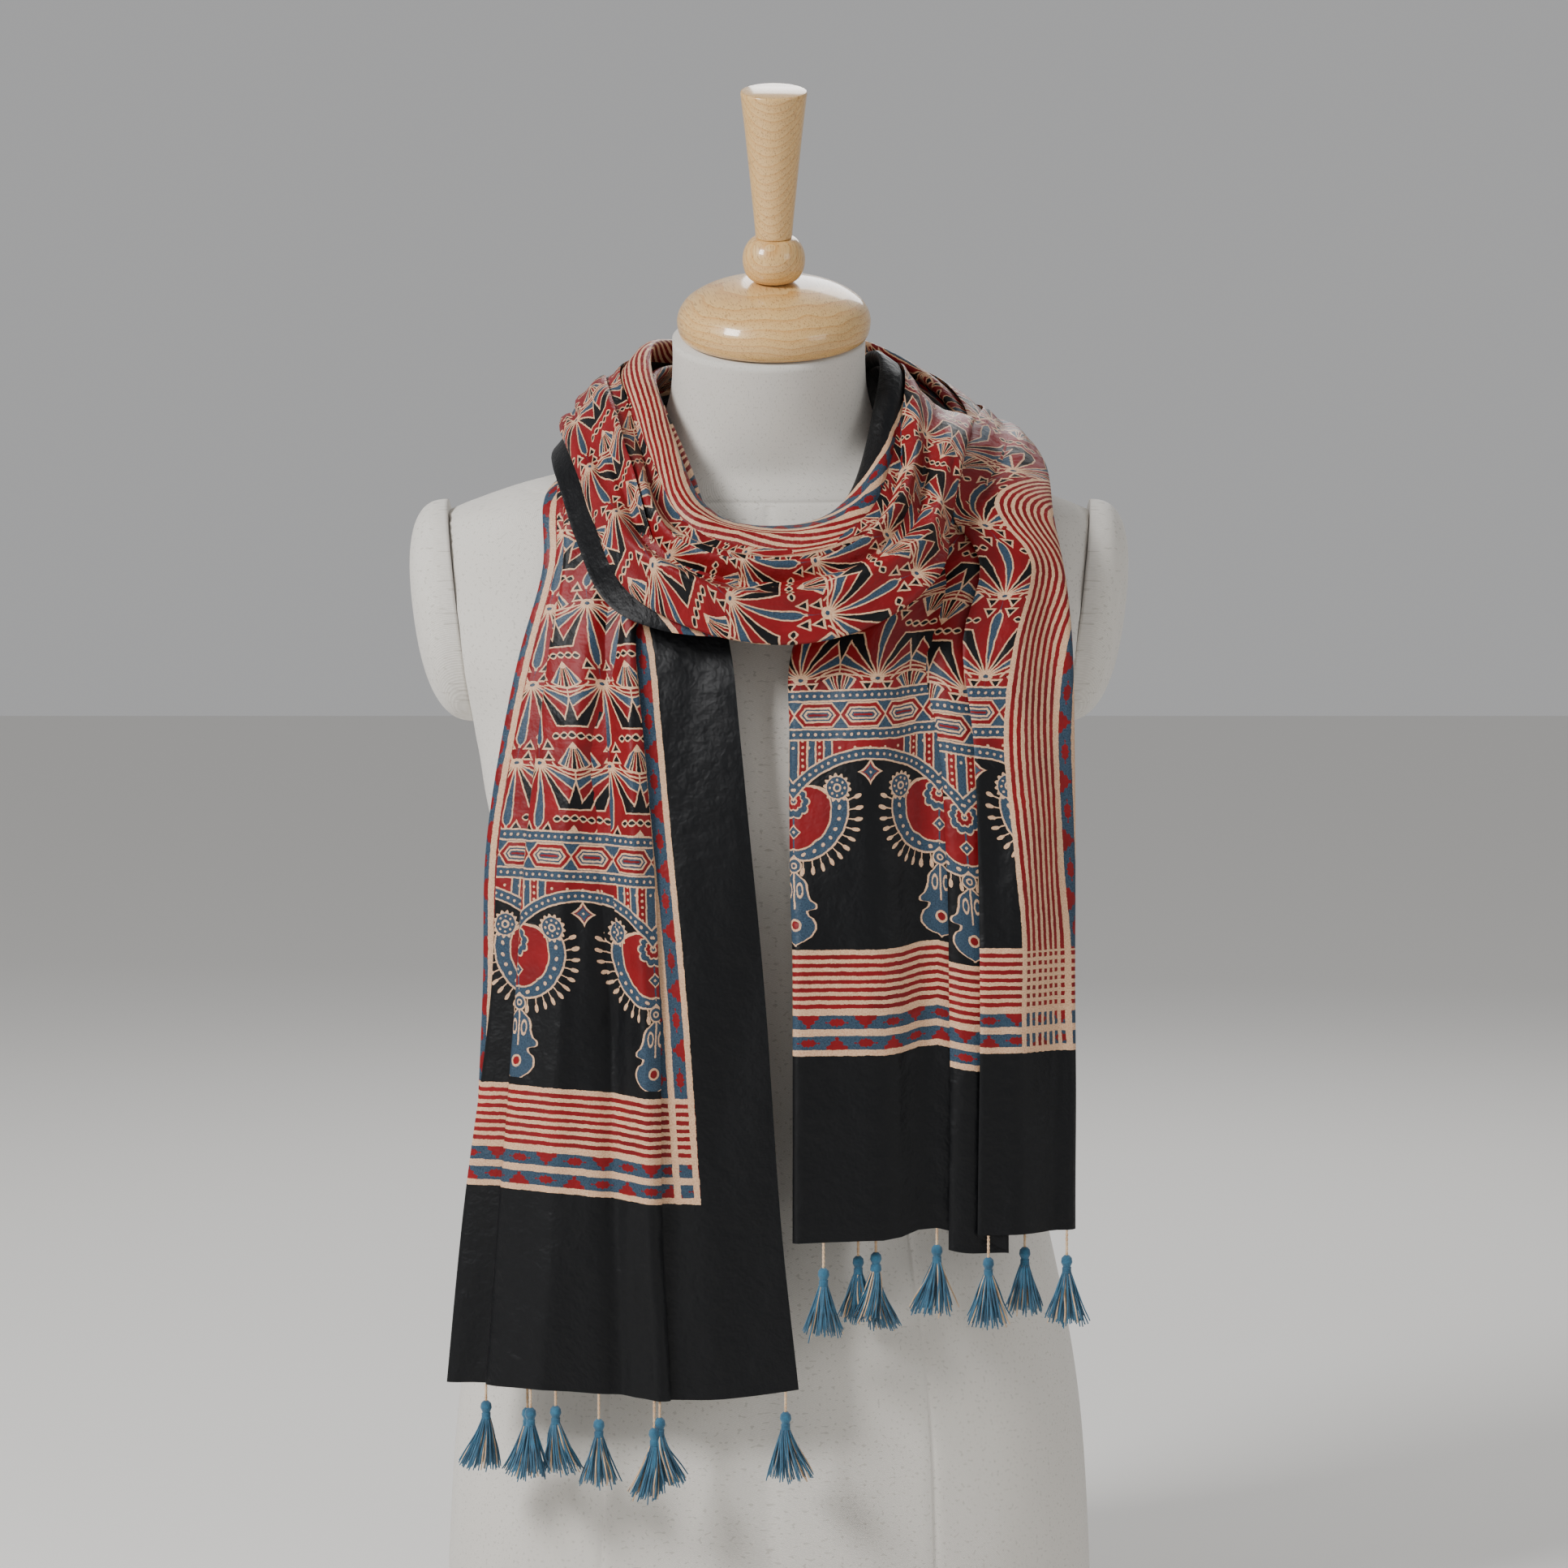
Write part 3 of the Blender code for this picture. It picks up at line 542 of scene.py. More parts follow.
# near is the edge by the neck and far the other, in x, y and z; folds are distances from near; then the
# levels, the pitch of the layers, how far the middle bows outward, how far the outer layers puff, and
# how many rows of the plain solid lead to the next station
STATIONS = (
    ((19, -122, 177), (-190, -100, 171),
     (0, 8, 16, 24, 107, 74, 110, 147, 184, 139, 208, 160, 204, 141), "first end", 3.0, 6, 0, 2),
    ((9, -122, 270), (-180, -100, 270),
     (0, 8, 16, 24, 100, 68, 101, 133, 166, 120, 188, 140, 184, 121), "first end", 3.0, 7, 0, 2),
    ((0, -122, 400), (-170, -98, 400),
     (0, 8, 16, 24, 98, 60, 89, 117, 146, 80, 162, 118, 168, 104), "first end", 3.0, 8, 0, 2),
    ((-8, -121, 490), (-165, -95, 490),
     (0, 8, 16, 24, 98, 56, 81, 106, 131, 65, 149, 107, 158, 94), "first end", 3.0, 8, 0, 1),
    ((-14, -119, 553), (-156, -90, 553),
     (0, 7, 14, 21, 98, 55, 76, 97, 118, 50, 134, 92, 143, 80), "first end", 2.8, 7, 0, 1),
    ((-20, -112, 603), (-146, -80, 600),
     (0, 6, 12, 18, 96, 53, 71, 89, 107, 40, 118, 76, 128, 65), "first end", 2.6, 6, 0, 2),
    ((-28, -98, 648), (-134, -62, 645),
     (8, 5, 4, 0, 86, 38, 56, 74, 92, 26, 99, 56, 108, 44), "first turn", 2.4, 4, 0, 2),
    ((-40, -70, 694), (-118, -34, 688),
     (30, 12, 28, 0, 74, 24, 43, 62, 82, 30, 88, 52, 96, 38), "right neck", 2.2, 3, 0, 3),
    ((-59, -14, 750), (-106, -2, 713),
     (56, 14, 40, 0, 56, 13, 30, 47, 64, 12, 68, 53, 38, 22), "neck", 2.1, 2, 0, 3),
    ((-43, 24, 764), (-84, 52, 704),
     (60, 16, 42, 0, 68, 16, 36, 56, 76, 12, 82, 62, 42, 22), "neck", 2.1, 2, 0, 2),
    ((0, 42, 764), (0, 74, 692),
     (60, 16, 42, 0, 70, 16, 37, 57, 78, 12, 84, 63, 43, 22), "neck", 2.1, 2, 0, 2),
    ((43, 26, 768), (80, 52, 708),
     (36, 12, 24, 0, 64, 14, 34, 53, 72, 12, 76, 50, 46, 22), "neck", 2.1, 2, 0, 3),
    ((60, -10, 772), (94, -8, 720),
     (12, 8, 10, 0, 58, 14, 30, 46, 62, 12, 64, 28, 60, 28), "right neck", 2.1, 2, 0, 3),
    ((57, -50, 724), (104, -78, 670),
     (14, 8, 12, 0, 66, 26, 42, 58, 74, 12, 76, 30, 70, 30), "right neck", 2.2, 4, 3, 3),
    ((44, -86, 682), (94, -124, 634),
     (24, 12, 18, 0, 76, 36, 50, 66, 80, 12, 76, 48, 54, 22), "right neck", 2.3, 6, 5, 3),
    ((6, -96, 668), (2, -138, 606),
     (32, 14, 24, 0, 78, 38, 52, 67, 82, 12, 74, 52, 30, 8), "neck", 2.3, 6, 6, 3),
    ((-38, -86, 678), (-78, -126, 628),
     (34, 14, 26, 0, 76, 38, 70, 48, 78, 12, 88, 80, 72, 64), "second end", 2.3, 6, 5, 3),
    ((-56, -52, 722), (-102, -84, 674),
     (32, 12, 26, 0, 64, 26, 58, 36, 74, 12, 90, 82, 74, 66), "second end", 2.2, 4, 3, 3),
    ((-66, -4, 774), (-106, -12, 722),
     (34, 12, 28, 0, 62, 20, 54, 30, 72, 12, 86, 78, 71, 64), "second end", 2.1, 2, 0, 3),
    ((-50, 40, 780), (-94, 66, 718),
     (48, 14, 36, 0, 68, 18, 46, 50, 78, 13, 88, 77, 65, 54), "second end", 2.1, 2, 0, 3),
    ((0, 60, 776), (0, 92, 698),
     (64, 14, 58, 0, 74, 24, 42, 60, 82, 22, 86, 72, 58, 44), "second end", 2.1, 2, 0, 3),
    ((56, 50, 782), (98, 70, 716),
     (66, 12, 66, 0, 68, 20, 42, 56, 78, 24, 74, 61, 47, 34), "second end", 2.1, 2, 0, 3),
    ((96, 30, 752), (148, 34, 708),
     (58, 8, 60, 0, 62, 8, 40, 30, 64, 13, 60, 47, 34, 22), "second end", 2.1, 2, 0, 2),
    ((112, -4, 724), (161, -6, 700),
     (48, 6, 50, 0, 52, 4, 50, 6, 54, 11, 50, 40, 31, 22), "second end", 2.1, 2, 0, 2),
    ((84, -58, 688), (168, -48, 668),
     (52, 10, 58, 0, 70, 14, 66, 18, 84, 63, 76, 70, 63, 56), "second end", 2.2, 3, 0, 2),
    ((38, -92, 644), (172, -70, 636),
     (48, 16, 74, 0, 105, 62, 105, 83, 136, 106, 126, 119, 112, 106), "second end", 2.4, 6, 0, 1),
    ((13, -111, 600), (174, -82, 600),
     (46, 20, 80, 0, 115, 76, 113, 97, 164, 138, 154, 150, 147, 144), "second end", 2.7, 8, 0, 1),
    ((11, -119, 553), (176, -86, 553),
     (46, 20, 80, 0, 124, 86, 123, 104, 167, 145, 160, 157, 154, 151), "second end", 2.9, 8, 0, 1),
    ((11, -122, 490), (178, -88, 490),
     (46, 20, 80, 0, 126, 90, 125, 107, 168, 146, 160, 157, 154, 151), "second end", 3.0, 8, 0, 2),
    ((11, -122, 390), (180, -90, 390),
     (46, 20, 80, 0, 126, 92, 126, 108, 168, 146, 160, 157, 154, 151), "second end", 3.0, 8, 0, 2),
    ((11, -120, 258), (177, -92, 262),
     (46, 20, 80, 0, 126, 92, 126, 108, 168, 146, 160, 157, 154, 151), "second end", 3.0, 7, 0, 0),
)
# Stations where the cloth lies on the left shoulder, starts across the chest, leaves it, and lies on
# the right
SHOULDER_A = 8
CHEST_ON = 12
CHEST_OFF = 17
SHOULDER_B = 22
# The fold that takes up what is left of the cloth's width, and how close it may come to its neighbours
SLACK_FOLD = FOLDS.index("f4")
SLACK_LEAST = 11.0
SLACK_ROOM = 10.0
# A real layer is far thinner than the plain solid's, so the layers here lie closer together
PITCH_SHARE = 0.72
FOLD_REACH = 6.0
FOLD_SHARE = 0.36
ROWS_PER_SOLID_ROW = 5.4
print(len(STATIONS), "stations,", len(FOLDS), "folds")

# %% [markdown]
# Cloth never hangs quite flat, nor quite level. Long soft ridges and troughs run down the panels and
# round the neck, and they are placed here one by one: each runs from one station to another, drifts
# across the width, and has its own width and height. A negative height is a trough. Each hem dips where
# the cloth hangs from one point, and the narrow pleat of the second end has slid down a little.
# %% Ridges and troughs

# First and last station, place across at each, half width and height
RIDGES = (
    (-2.0, 6.5, 0.47, 0.57, 7.0, -6.0),
    (-2.0, 6.5, 0.36, 0.44, 6.0, 6.0),
    (-2.0, 5.5, 0.74, 0.64, 11.0, 3.6),
    (-2.0, 4.0, 0.20, 0.28, 13.0, 2.6),
    (1.5, 7.0, 0.66, 0.46, 6.0, -3.4),
    (-2.0, 2.5, 0.92, 0.86, 9.0, -4.5),
    (12.0, 18.0, 0.14, 0.20, 4.6, 5.5),
    (12.0, 18.0, 0.28, 0.34, 4.2, -7.5),
    (12.2, 18.0, 0.42, 0.50, 4.8, 8.0),
    (12.6, 17.6, 0.58, 0.66, 4.2, -8.5),
    (12.2, 17.0, 0.76, 0.84, 5.0, 7.0),
    (12.6, 15.6, 1.04, 0.64, 4.4, -4.4),
    (13.4, 16.4, 0.52, 0.22, 3.8, 3.4),
    (15.4, 19.0, 0.62, 0.98, 4.6, -4.0),
    (23.4, 33.0, 0.42, 0.50, 12.0, -12.0),
    (23.0, 33.0, 0.22, 0.33, 10.0, 5.5),
    (24.0, 33.0, 0.02, 0.10, 12.0, -3.4),
    (23.5, 31.0, 0.80, 0.76, 9.0, 4.0),
    (24.5, 33.0, 0.94, 0.90, 8.0, -4.0),
)
# Small unevenness: wavelength across and along in millimetres, drift, and height
RIPPLES = ((0.62, 310.0, 0.7, 0.9), (0.37, 190.0, 2.1, 0.6), (0.23, 120.0, 4.0, 0.35))


# The first hem dips by this much, this far across and with this half width
HEM_DIP = (10.0, 0.27, 0.34)
VALLEY_RISE = (4.5, 0.48, 0.09)
PLEAT_DROP = 11.0


def ridge_height(station, across, along, width):
    """Sum of bells: height exp(-(distance / half width)^2), faded at both ends, plus three slow sine
    waves."""
    total = np.zeros_like(across)
    for first, last, start, end, half, height in RIDGES:
        run = np.clip((station - first) / (last - first), 0, 1)
        centre = start + (end - start) * run
        fade = np.sin(np.pi * run) ** 0.7 * ((station > first) & (station < last))
        total += height * fade * np.exp(-(((across - centre) * width) / half) ** 2)
    for share, length, drift, height in RIPPLES:
        total += height * np.sin(2 * np.pi * (across / share + along / length) + drift)
    return total


# %% [markdown]
# Each layer turns over a fold on a small radius, so its height eases from one level to the next within
# a few millimetres of the fold. The grid has close columns there and wider ones in between, and every
# column is worked out for all rows at once.
# %% The cloth's section


def turn_over(inside, reach):
    """How far a layer has left its fold's middle height: a quarter ellipse, 0 at the fold and 1 past
    its reach."""
    u = np.clip(inside / reach, 0, 1)
    return np.sqrt(1 - (1 - u) ** 2)


NEAR_FOLD = np.array([0.0, 0.13, 0.45, 1.0])


def column_of(fold):
    """Number of the grid's column that lies on that fold."""
    before = FOLDS.index(fold)
    return sum(INNER_COLUMNS[:before]) + before * (2 * len(NEAR_FOLD) - 1)


def sections(folds, levels):
    """Distance from near and level of every column, for all rows: folds is rows by 14, levels rows by
    13."""
    distance = []
    height = []
    for k in range(len(FOLDS) - 1):
        start = folds[:, k : k + 1]
        end = folds[:, k + 1 : k + 2]
        length = np.maximum(np.abs(end - start), 0.1)
        reach = np.minimum(FOLD_REACH, FOLD_SHARE * length)
        between = np.linspace(0, 1, INNER_COLUMNS[k] + 2)[1:-1]
        wide = reach + between * (length - 2 * reach)
        into = np.concatenate([NEAR_FOLD * reach, wide, length - NEAR_FOLD[:0:-1] * reach], axis=1)
        level = levels[:, k : k + 1]
        before = level if k == 0 else (levels[:, k - 1 : k] + level) / 2
        after = level if k == len(FOLDS) - 2 else (level + levels[:, k + 1 : k + 2]) / 2
        rise = before + (level - before) * turn_over(into, FOLD_REACH)
        fall = after + (level - after) * turn_over(length - into, FOLD_REACH)
        distance.append(start + np.sign(end - start) * into)
        height.append(np.where(into < length / 2, rise, fall))
    distance.append(folds[:, -1:])
    height.append(levels[:, -1:])
    return np.concatenate(distance, axis=1), np.concatenate(height, axis=1)


def tree_of(points):
    """Search tree of a grid of points, as quads."""
    rows, columns = points.shape[:2]
    r, c = np.meshgrid(np.arange(rows - 1), np.arange(columns - 1), indexing="ij")
    k = (r * columns + c).reshape(-1, 1)
    quads = k + np.array([[0, 1, columns + 1, columns]])
    return BVHTree.FromPolygons((points.reshape(-1, 3) * MM).tolist(), quads.tolist())


# %% [markdown]
# The rows are laid in the order in which a person would put the stole on. Rays looked down onto the
# form find how far each row has to stand off it. Then the second turn is raised over the first behind
# the neck, and last the turn across the chest is raised over both hanging ends.
# %% Laying the cloth


def lay_cloth(body):
    """Middle surface of the cloth: points in mm (rows, columns, 3), and each point's place across and
    along."""
    near = np.array([s[0] for s in STATIONS], float)
    far = np.array([s[1] for s in STATIONS], float)
    folds = np.array([s[2] for s in STATIONS], float)
    levels = np.array([LEVELS[s[3]] for s in STATIONS], float)
    rest = np.array([s[4:7] for s in STATIONS], float)
    middle = (near + far) / 2
    knots = np.concatenate([[0], np.cumsum(np.linalg.norm(np.diff(middle, axis=0), axis=1))])
    counts = [max(1, round(s[7] * ROWS_PER_SOLID_ROW)) for s in STATIONS[:-1]]
    where = [knots[k] + (knots[k + 1] - knots[k]) * np.arange(1, n + 1) / n for k, n in enumerate(counts)]
    where = np.concatenate([[0.0], *where])
    station = np.interp(where, knots, np.arange(len(knots)))[:, None]
    near = spline(knots, near, where)
    far = spline(knots, far, where)
    folds = spline(knots, folds, where)
    levels = spline(knots, levels, where)
    pitch, bow, puff = spline(knots, rest, where).T[:, :, None]
    width = np.linalg.norm(far - near, axis=1, keepdims=True)
    across = (far - near) / width
    out = np.cross(np.gradient((near + far) / 2, where, axis=0), across)
    out = out / np.linalg.norm(out, axis=1, keepdims=True)
    samples = np.linspace(-0.1, 1.2, 16)
    lift = np.zeros((len(where), len(samples)))
    reach = 70.0

    def raise_over(trees, first, last):
        """Raises the rows between two stations until every sample clears the trees, then evens the lift
        out."""
        for r in np.flatnonzero((where >= knots[first]) & (where <= knots[last])):
            arch = bow[r, 0] * np.clip(1 - (2 * samples - 1) ** 2, 0, None)
            for c, u in enumerate(samples):
                start = near[r] + across[r] * (u * width[r, 0]) + out[r] * (arch[c] + reach)
                for tree in trees:
                    hit = tree.ray_cast(Vector(start * MM), Vector(-out[r]), 1.4 * reach * MM)
                    if hit[0] is not None:
                        lift[r, c] = max(lift[r, c], reach - hit[3] / MM + CLEAR)
        for _ in range(40):
            wide = np.pad(lift, 1, mode="edge")
            blurred = (wide[:-2, 1:-1] + wide[2:, 1:-1] + wide[1:-1, :-2] + wide[1:-1, 2:] + 4 * lift) / 8
            lift[:] = np.maximum(lift, blurred)

    def lay():
        """Points of every row at the present lift, and their places across the flat cloth."""
        fold = folds.copy()
        for _ in range(6):
            a, h = sections(fold, levels)
            u = a / width
            arch = np.clip(1 - (2 * u - 1) ** 2, -0.5, None)
            b = bow * arch + h * pitch * PITCH_SHARE
            b = b + puff * np.clip(h - 5, 0, None) / 3 * np.clip(arch, 0, None)
            b = b + np.array([np.interp(u[r], samples, lift[r]) for r in range(len(where))])
            b = b + ridge_height(station, u, where[:, None], width) * h / 8
            length = np.cumsum(np.hypot(np.diff(a, axis=1), np.diff(b, axis=1)), axis=1)
            slack = (CLOTH_WIDTH - length[:, -1]) / 2
            most = np.minimum(fold[:, SLACK_FOLD - 1], fold[:, SLACK_FOLD + 1]) - SLACK_ROOM
            fold[:, SLACK_FOLD] = np.clip(fold[:, SLACK_FOLD] - slack * 0.8, SLACK_LEAST, most)
        place = np.concatenate([np.zeros((len(where), 1)), length], axis=1)
        points = near[:, None] + a[..., None] * across[:, None] + b[..., None] * out[:, None]
        first = np.clip(1 - station / 5, 0, 1)
        second = np.clip((station - 24) / 3, 0, 1)
        pleat_columns = [column_of(f) for f in ("f1", "f2", "m1", "m2")]
        pleat = np.interp(np.arange(a.shape[1]), pleat_columns, (0, 1, 1, 0))
        points[..., 2] -= first * HEM_DIP[0] * np.exp(-(((u - HEM_DIP[1]) / HEM_DIP[2]) ** 2))
        points[..., 2] += second * VALLEY_RISE[0] * np.exp(-(((u - VALLEY_RISE[1]) / VALLEY_RISE[2]) ** 2))
        points[..., 2] -= second * PLEAT_DROP * pleat
        return points, place / place[:, -1:] * CLOTH_WIDTH

    def stretch(points, first, last):
        """Search tree of the cloth between two stations."""
        return tree_of(points[(where >= knots[first]) & (where <= knots[last])])

    end = len(STATIONS) - 1
    raise_over([body], 0, end)
    points, place = lay()
    raise_over([stretch(points, 0, CHEST_ON - 1)], CHEST_OFF + 1, end)
    points, place = lay()
    hanging = [stretch(points, 0, SHOULDER_A), stretch(points, SHOULDER_B + 1, end)]
    raise_over(hanging, CHEST_ON, CHEST_OFF + 1)
    points, place = lay()
    step = np.linalg.norm(np.diff(points, axis=0), axis=2)
    along = np.concatenate([[0], np.cumsum(np.median(step, axis=1))])
    print("cloth laid:", points.shape[:2], "rows and columns, length", round(float(along[-1])), "mm")
    return points, place, along / along[-1] * CLOTH_LENGTH


def body_tree(node):
    """Search tree of a solid of the model, which stands for the form while the cloth is laid."""
    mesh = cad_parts[node].data
    corners = np.empty(len(mesh.vertices) * 3)
    mesh.vertices.foreach_get("co", corners)
    return BVHTree.FromPolygons(corners.reshape(-1, 3).tolist(), [tuple(p.vertices) for p in mesh.polygons])


points, place, along = lay_cloth(body_tree("torso"))
fold_columns = [column_of(f) for f in FOLDS]
for row in (0, len(points) // 2, -1):
    print("across at the folds of row", row, place[row, fold_columns].round().astype(int).tolist())

# %% [markdown]
# The cloth is a closed skin: its middle surface moved half a thickness to each side, with a narrow rim
# round its edge. Both sides keep the same flat places, because ajrakh is printed or soaked through to
# both faces.
# %% The cloth's mesh


def sheet_mesh(points, place, along):
    """Two copies of the middle surface, p + n t/2 and p - n t/2, and a rim between them."""
    normal = np.cross(np.gradient(points, axis=0), np.gradient(points, axis=1))
    normal = normal / np.maximum(np.linalg.norm(normal, axis=2, keepdims=True), 1e-9)
    rows, columns = points.shape[:2]
    half = rows * columns
    rise = normal * THICKNESS / 2
    verts = np.concatenate([(points + rise).reshape(-1, 3), (points - rise).reshape(-1, 3)])
    flat = np.stack([place, np.tile(along[:, None], (1, columns))], axis=-1).reshape(-1, 2)
    r, c = np.meshgrid(np.arange(rows - 1), np.arange(columns - 1), indexing="ij")
    k = (r * columns + c).reshape(-1, 1)
    outer = k + np.array([[0, columns, columns + 1, 1]])
    inner = half + k + np.array([[0, 1, columns + 1, columns]])
    top = np.arange(columns - 1)[:, None]
    left = (np.arange(rows - 1) * columns)[:, None]
    bottom = top + (rows - 1) * columns
    right = left + columns - 1
    rim = [
        np.concatenate([top, top + 1, half + top + 1, half + top], axis=1),
        np.concatenate([left + columns, left, half + left, half + left + columns], axis=1),
        np.concatenate([bottom + 1, bottom, half + bottom, half + bottom + 1], axis=1),
        np.concatenate([right, right + columns, half + right + columns, half + right], axis=1),
    ]
    return mesh_of("stole", verts, np.concatenate([outer, inner, *rim]), np.concatenate([flat, flat]))


cloth = sheet_mesh(points, place, along)
print("stole:", 2 * len(cloth.polygons), "triangles")

# %% [markdown]
# The print is drawn in millimetres of flat cloth, from the UV map. s runs across the cloth and t along
# it. A hand-held block never prints a perfect edge, so both are nudged by a little noise before
# anything is drawn. A pattern gives three masks, cream, blue and red, in the three channels of a
# colour; where all are 0 the cloth is black.
# %% Places on the flat cloth

BLACK_EDGE = 45.0
BORDER_WIDTH = 59.5
FIELD_EDGE = BLACK_EDGE + BORDER_WIDTH
HEM_BLACK = 108.5
END_BORDER = 60.0
ARCH_ZONE = 118.0
DOTTED = 7.0
CHAIN = 15.0
# The print lies a little nearer the second hem
END_SHIFT = 4.5
ARCH_START = HEM_BLACK + END_BORDER
ARCH_TOP = ARCH_START + ARCH_ZONE
FIELD_START = ARCH_TOP + 2 * DOTTED + CHAIN
INKS = {"cream": (1, 0, 0, 1), "blue": (0, 1, 0, 1), "red": (0, 0, 1, 1), "black": (0, 0, 0, 1)}


def cloth_places(tree):
    """s and t in mm with a printer's wobble, w the distance to the nearer long edge, e to the nearer
    hem."""
    uv = add(tree, "ShaderNodeUVMap", uv_map="flat")
    flat = add(tree, "ShaderNodeVectorMath", uv, operation="SCALE", to={"Scale": 1000.0})
    wobble = add(tree, "ShaderNodeTexNoise", flat, to={"Scale": 0.17, "Detail": 4.0, "Roughness": 0.78})
    half = (0.5, 0.5, 0.5)
    centred = add(tree, "ShaderNodeVectorMath", wobble.outputs["Color"], half, operation="SUBTRACT")
    nudged = add(tree, "ShaderNodeVectorMath", centred, (1.7, 1.7, 0.0), flat, operation="MULTIPLY_ADD")
    split = add(tree, "ShaderNodeSeparateXYZ", nudged)
    s, t = split.outputs[0], split.outputs[1]
    from_middle = add(tree, "ABSOLUTE", add(tree, "SUBTRACT", s, CLOTH_WIDTH / 2))
    w = add(tree, "SUBTRACT", CLOTH_WIDTH / 2, from_middle)
    from_centre = add(tree, "ABSOLUTE", add(tree, "SUBTRACT", t, CLOTH_LENGTH / 2 + END_SHIFT))
    e = add(tree, "SUBTRACT", CLOTH_LENGTH / 2, from_centre)
    return {"flat": flat, "s": s, "t": t, "w": w, "e": e}


def bands(tree, value, stops, last, first=0.0):
    """Ink by distance from first to last: a ramp with hard edges, from a list of (where it starts,
    ink). The range is kept short, since a ramp holds 256 steps."""
    ramp = add(tree, "ShaderNodeValToRGB", add(tree, "ShaderNodeMapRange", value, first, last))
    ramp.color_ramp.interpolation = "CONSTANT"
    elements = ramp.color_ramp.elements
    while len(elements) < len(stops):
        elements.new(1.0)
    for element, (start, ink) in zip(elements, stops):
        element.position = (start - first) / (last - first)
        element.color = INKS[ink]
    return ramp


def inks(tree, cream, blue, red):
    """One colour that holds the three masks."""
    return add(tree, "ShaderNodeCombineXYZ", cream, blue, red)


def either(tree, *masks):
    """1 where any of the masks is 1."""
    total = masks[0]
    for mask in masks[1:]:
        total = add(tree, "MAXIMUM", total, mask)
    return total


def both(tree, *masks):
    """1 where all of the masks are 1."""
    total = masks[0]
    for mask in masks[1:]:
        total = add(tree, "MULTIPLY", total, mask)
    return total


def distance(tree, x, y):
    """Distance of (x, y) from the origin."""
    point = add(tree, "ShaderNodeCombineXYZ", x, y)
    return add(tree, "ShaderNodeVectorMath", point, operation="LENGTH").outputs["Value"]


def beyond(tree, point, degrees, offset):
    """Signed distance of point past a line whose normal turns by degrees from x: x cos a + y sin a -
    offset."""
    turn = math.radians(degrees)
    normal = (math.cos(turn), math.sin(turn), 0)
    dot = add(tree, "ShaderNodeVectorMath", point, normal, operation="DOT_PRODUCT")
    return add(tree, "SUBTRACT", dot.outputs["Value"], offset)


def outline(tree, value, low, high, shape, size, smooth=True):
    """Half width of a motif at each place along it: a curve through (place, half width) pairs."""
    share = add(tree, "ShaderNodeMapRange", value, low, high)
    curve = add(tree, "ShaderNodeFloatCurve", to={"Value": share})
    line = curve.mapping.curves[0]
    curve.mapping.extend = "HORIZONTAL"
    pairs = [((x - low) / (high - low), y / size) for x, y in shape]
    line.points[0].location = pairs[0]
    line.points[1].location = pairs[-1]
    for pair in pairs[1:-1]:
        line.points.new(*pair)
    for dot in line.points:
        dot.handle_type = "AUTO" if smooth else "VECTOR"
    curve.mapping.update()
    return add(tree, "MULTIPLY", curve, size)


# %% [markdown]
# The border has two indigo bands with red triangles and four-lobed spots, cream rules beside them, and
# seven thin red stripes. It runs along all four sides of the cloth, so the same list of bands serves
# both ways. Where the two cross at a corner, cream wins, and the corner becomes a plaid.
# %% Border


# Where each band starts, from the black edge inward; then come the red stripes
BORDER_BANDS = (
    (-1.0, "black"), (0.0, "cream"), (3.6, "blue"), (11.2, "cream"), (15.2, "blue"), (22.8, "cream"),
)
BORDER_REACH = 62.0
STRIPES = 7
STRIPES_START = 26.8
STRIPE_SHARE = 0.53
SIDE_STRIPE_PITCH = 4.55
END_STRIPE_PITCH = 4.6
SPOT_PITCH = 16.7


def border_stops(start, stripe_pitch):
    """Band starts and inks from the black edge inward."""
    stops = [(start + place, ink) for place, ink in BORDER_BANDS]
    for k in range(STRIPES):
        red = start + STRIPES_START + stripe_pitch * k
        stops += [(red, "red"), (red + stripe_pitch * STRIPE_SHARE, "cream")]
    return stops


def spots(tree, along, across, start):
    """Red shapes in both bands: a triangle and a lobed spot take turns every 16.7 mm. In the second
    band they stand on the other edge and are half a repeat further along."""
    second = add(tree, "GREATER_THAN", across, start + 13.0)
    shifted = add(tree, "MULTIPLY_ADD", second, SPOT_PITCH, along)
    p = add(tree, "ABSOLUTE", add(tree, "WRAP", shifted, SPOT_PITCH, -SPOT_PITCH))
    q = add(tree, "SUBTRACT", across, add(tree, "MULTIPLY_ADD", second, 11.6, start + 3.6))
    q = add(tree, "ABSOLUTE", add(tree, "SUBTRACT", q, add(tree, "MULTIPLY", second, 7.6)))
    jagged = add(tree, "MULTIPLY", add(tree, "SINE", add(tree, "MULTIPLY", q, 2.6)), 0.7)
    triangle = add(tree, "LESS_THAN", add(tree, "ADD", add(tree, "MULTIPLY_ADD", q, 1.05, p), jagged), 7.4)
    far = add(tree, "SUBTRACT", SPOT_PITCH, p)
    lobe = add(tree, "MULTIPLY", add(tree, "SINE", add(tree, "MULTIPLY", far, 1.7)), 1.1)
    high = add(tree, "MULTIPLY", add(tree, "ABSOLUTE", add(tree, "SUBTRACT", q, 3.8)), 2.3)
    spot = add(tree, "LESS_THAN", add(tree, "ADD", add(tree, "ADD", far, high), lobe), 6.2)
    return either(tree, triangle, spot)


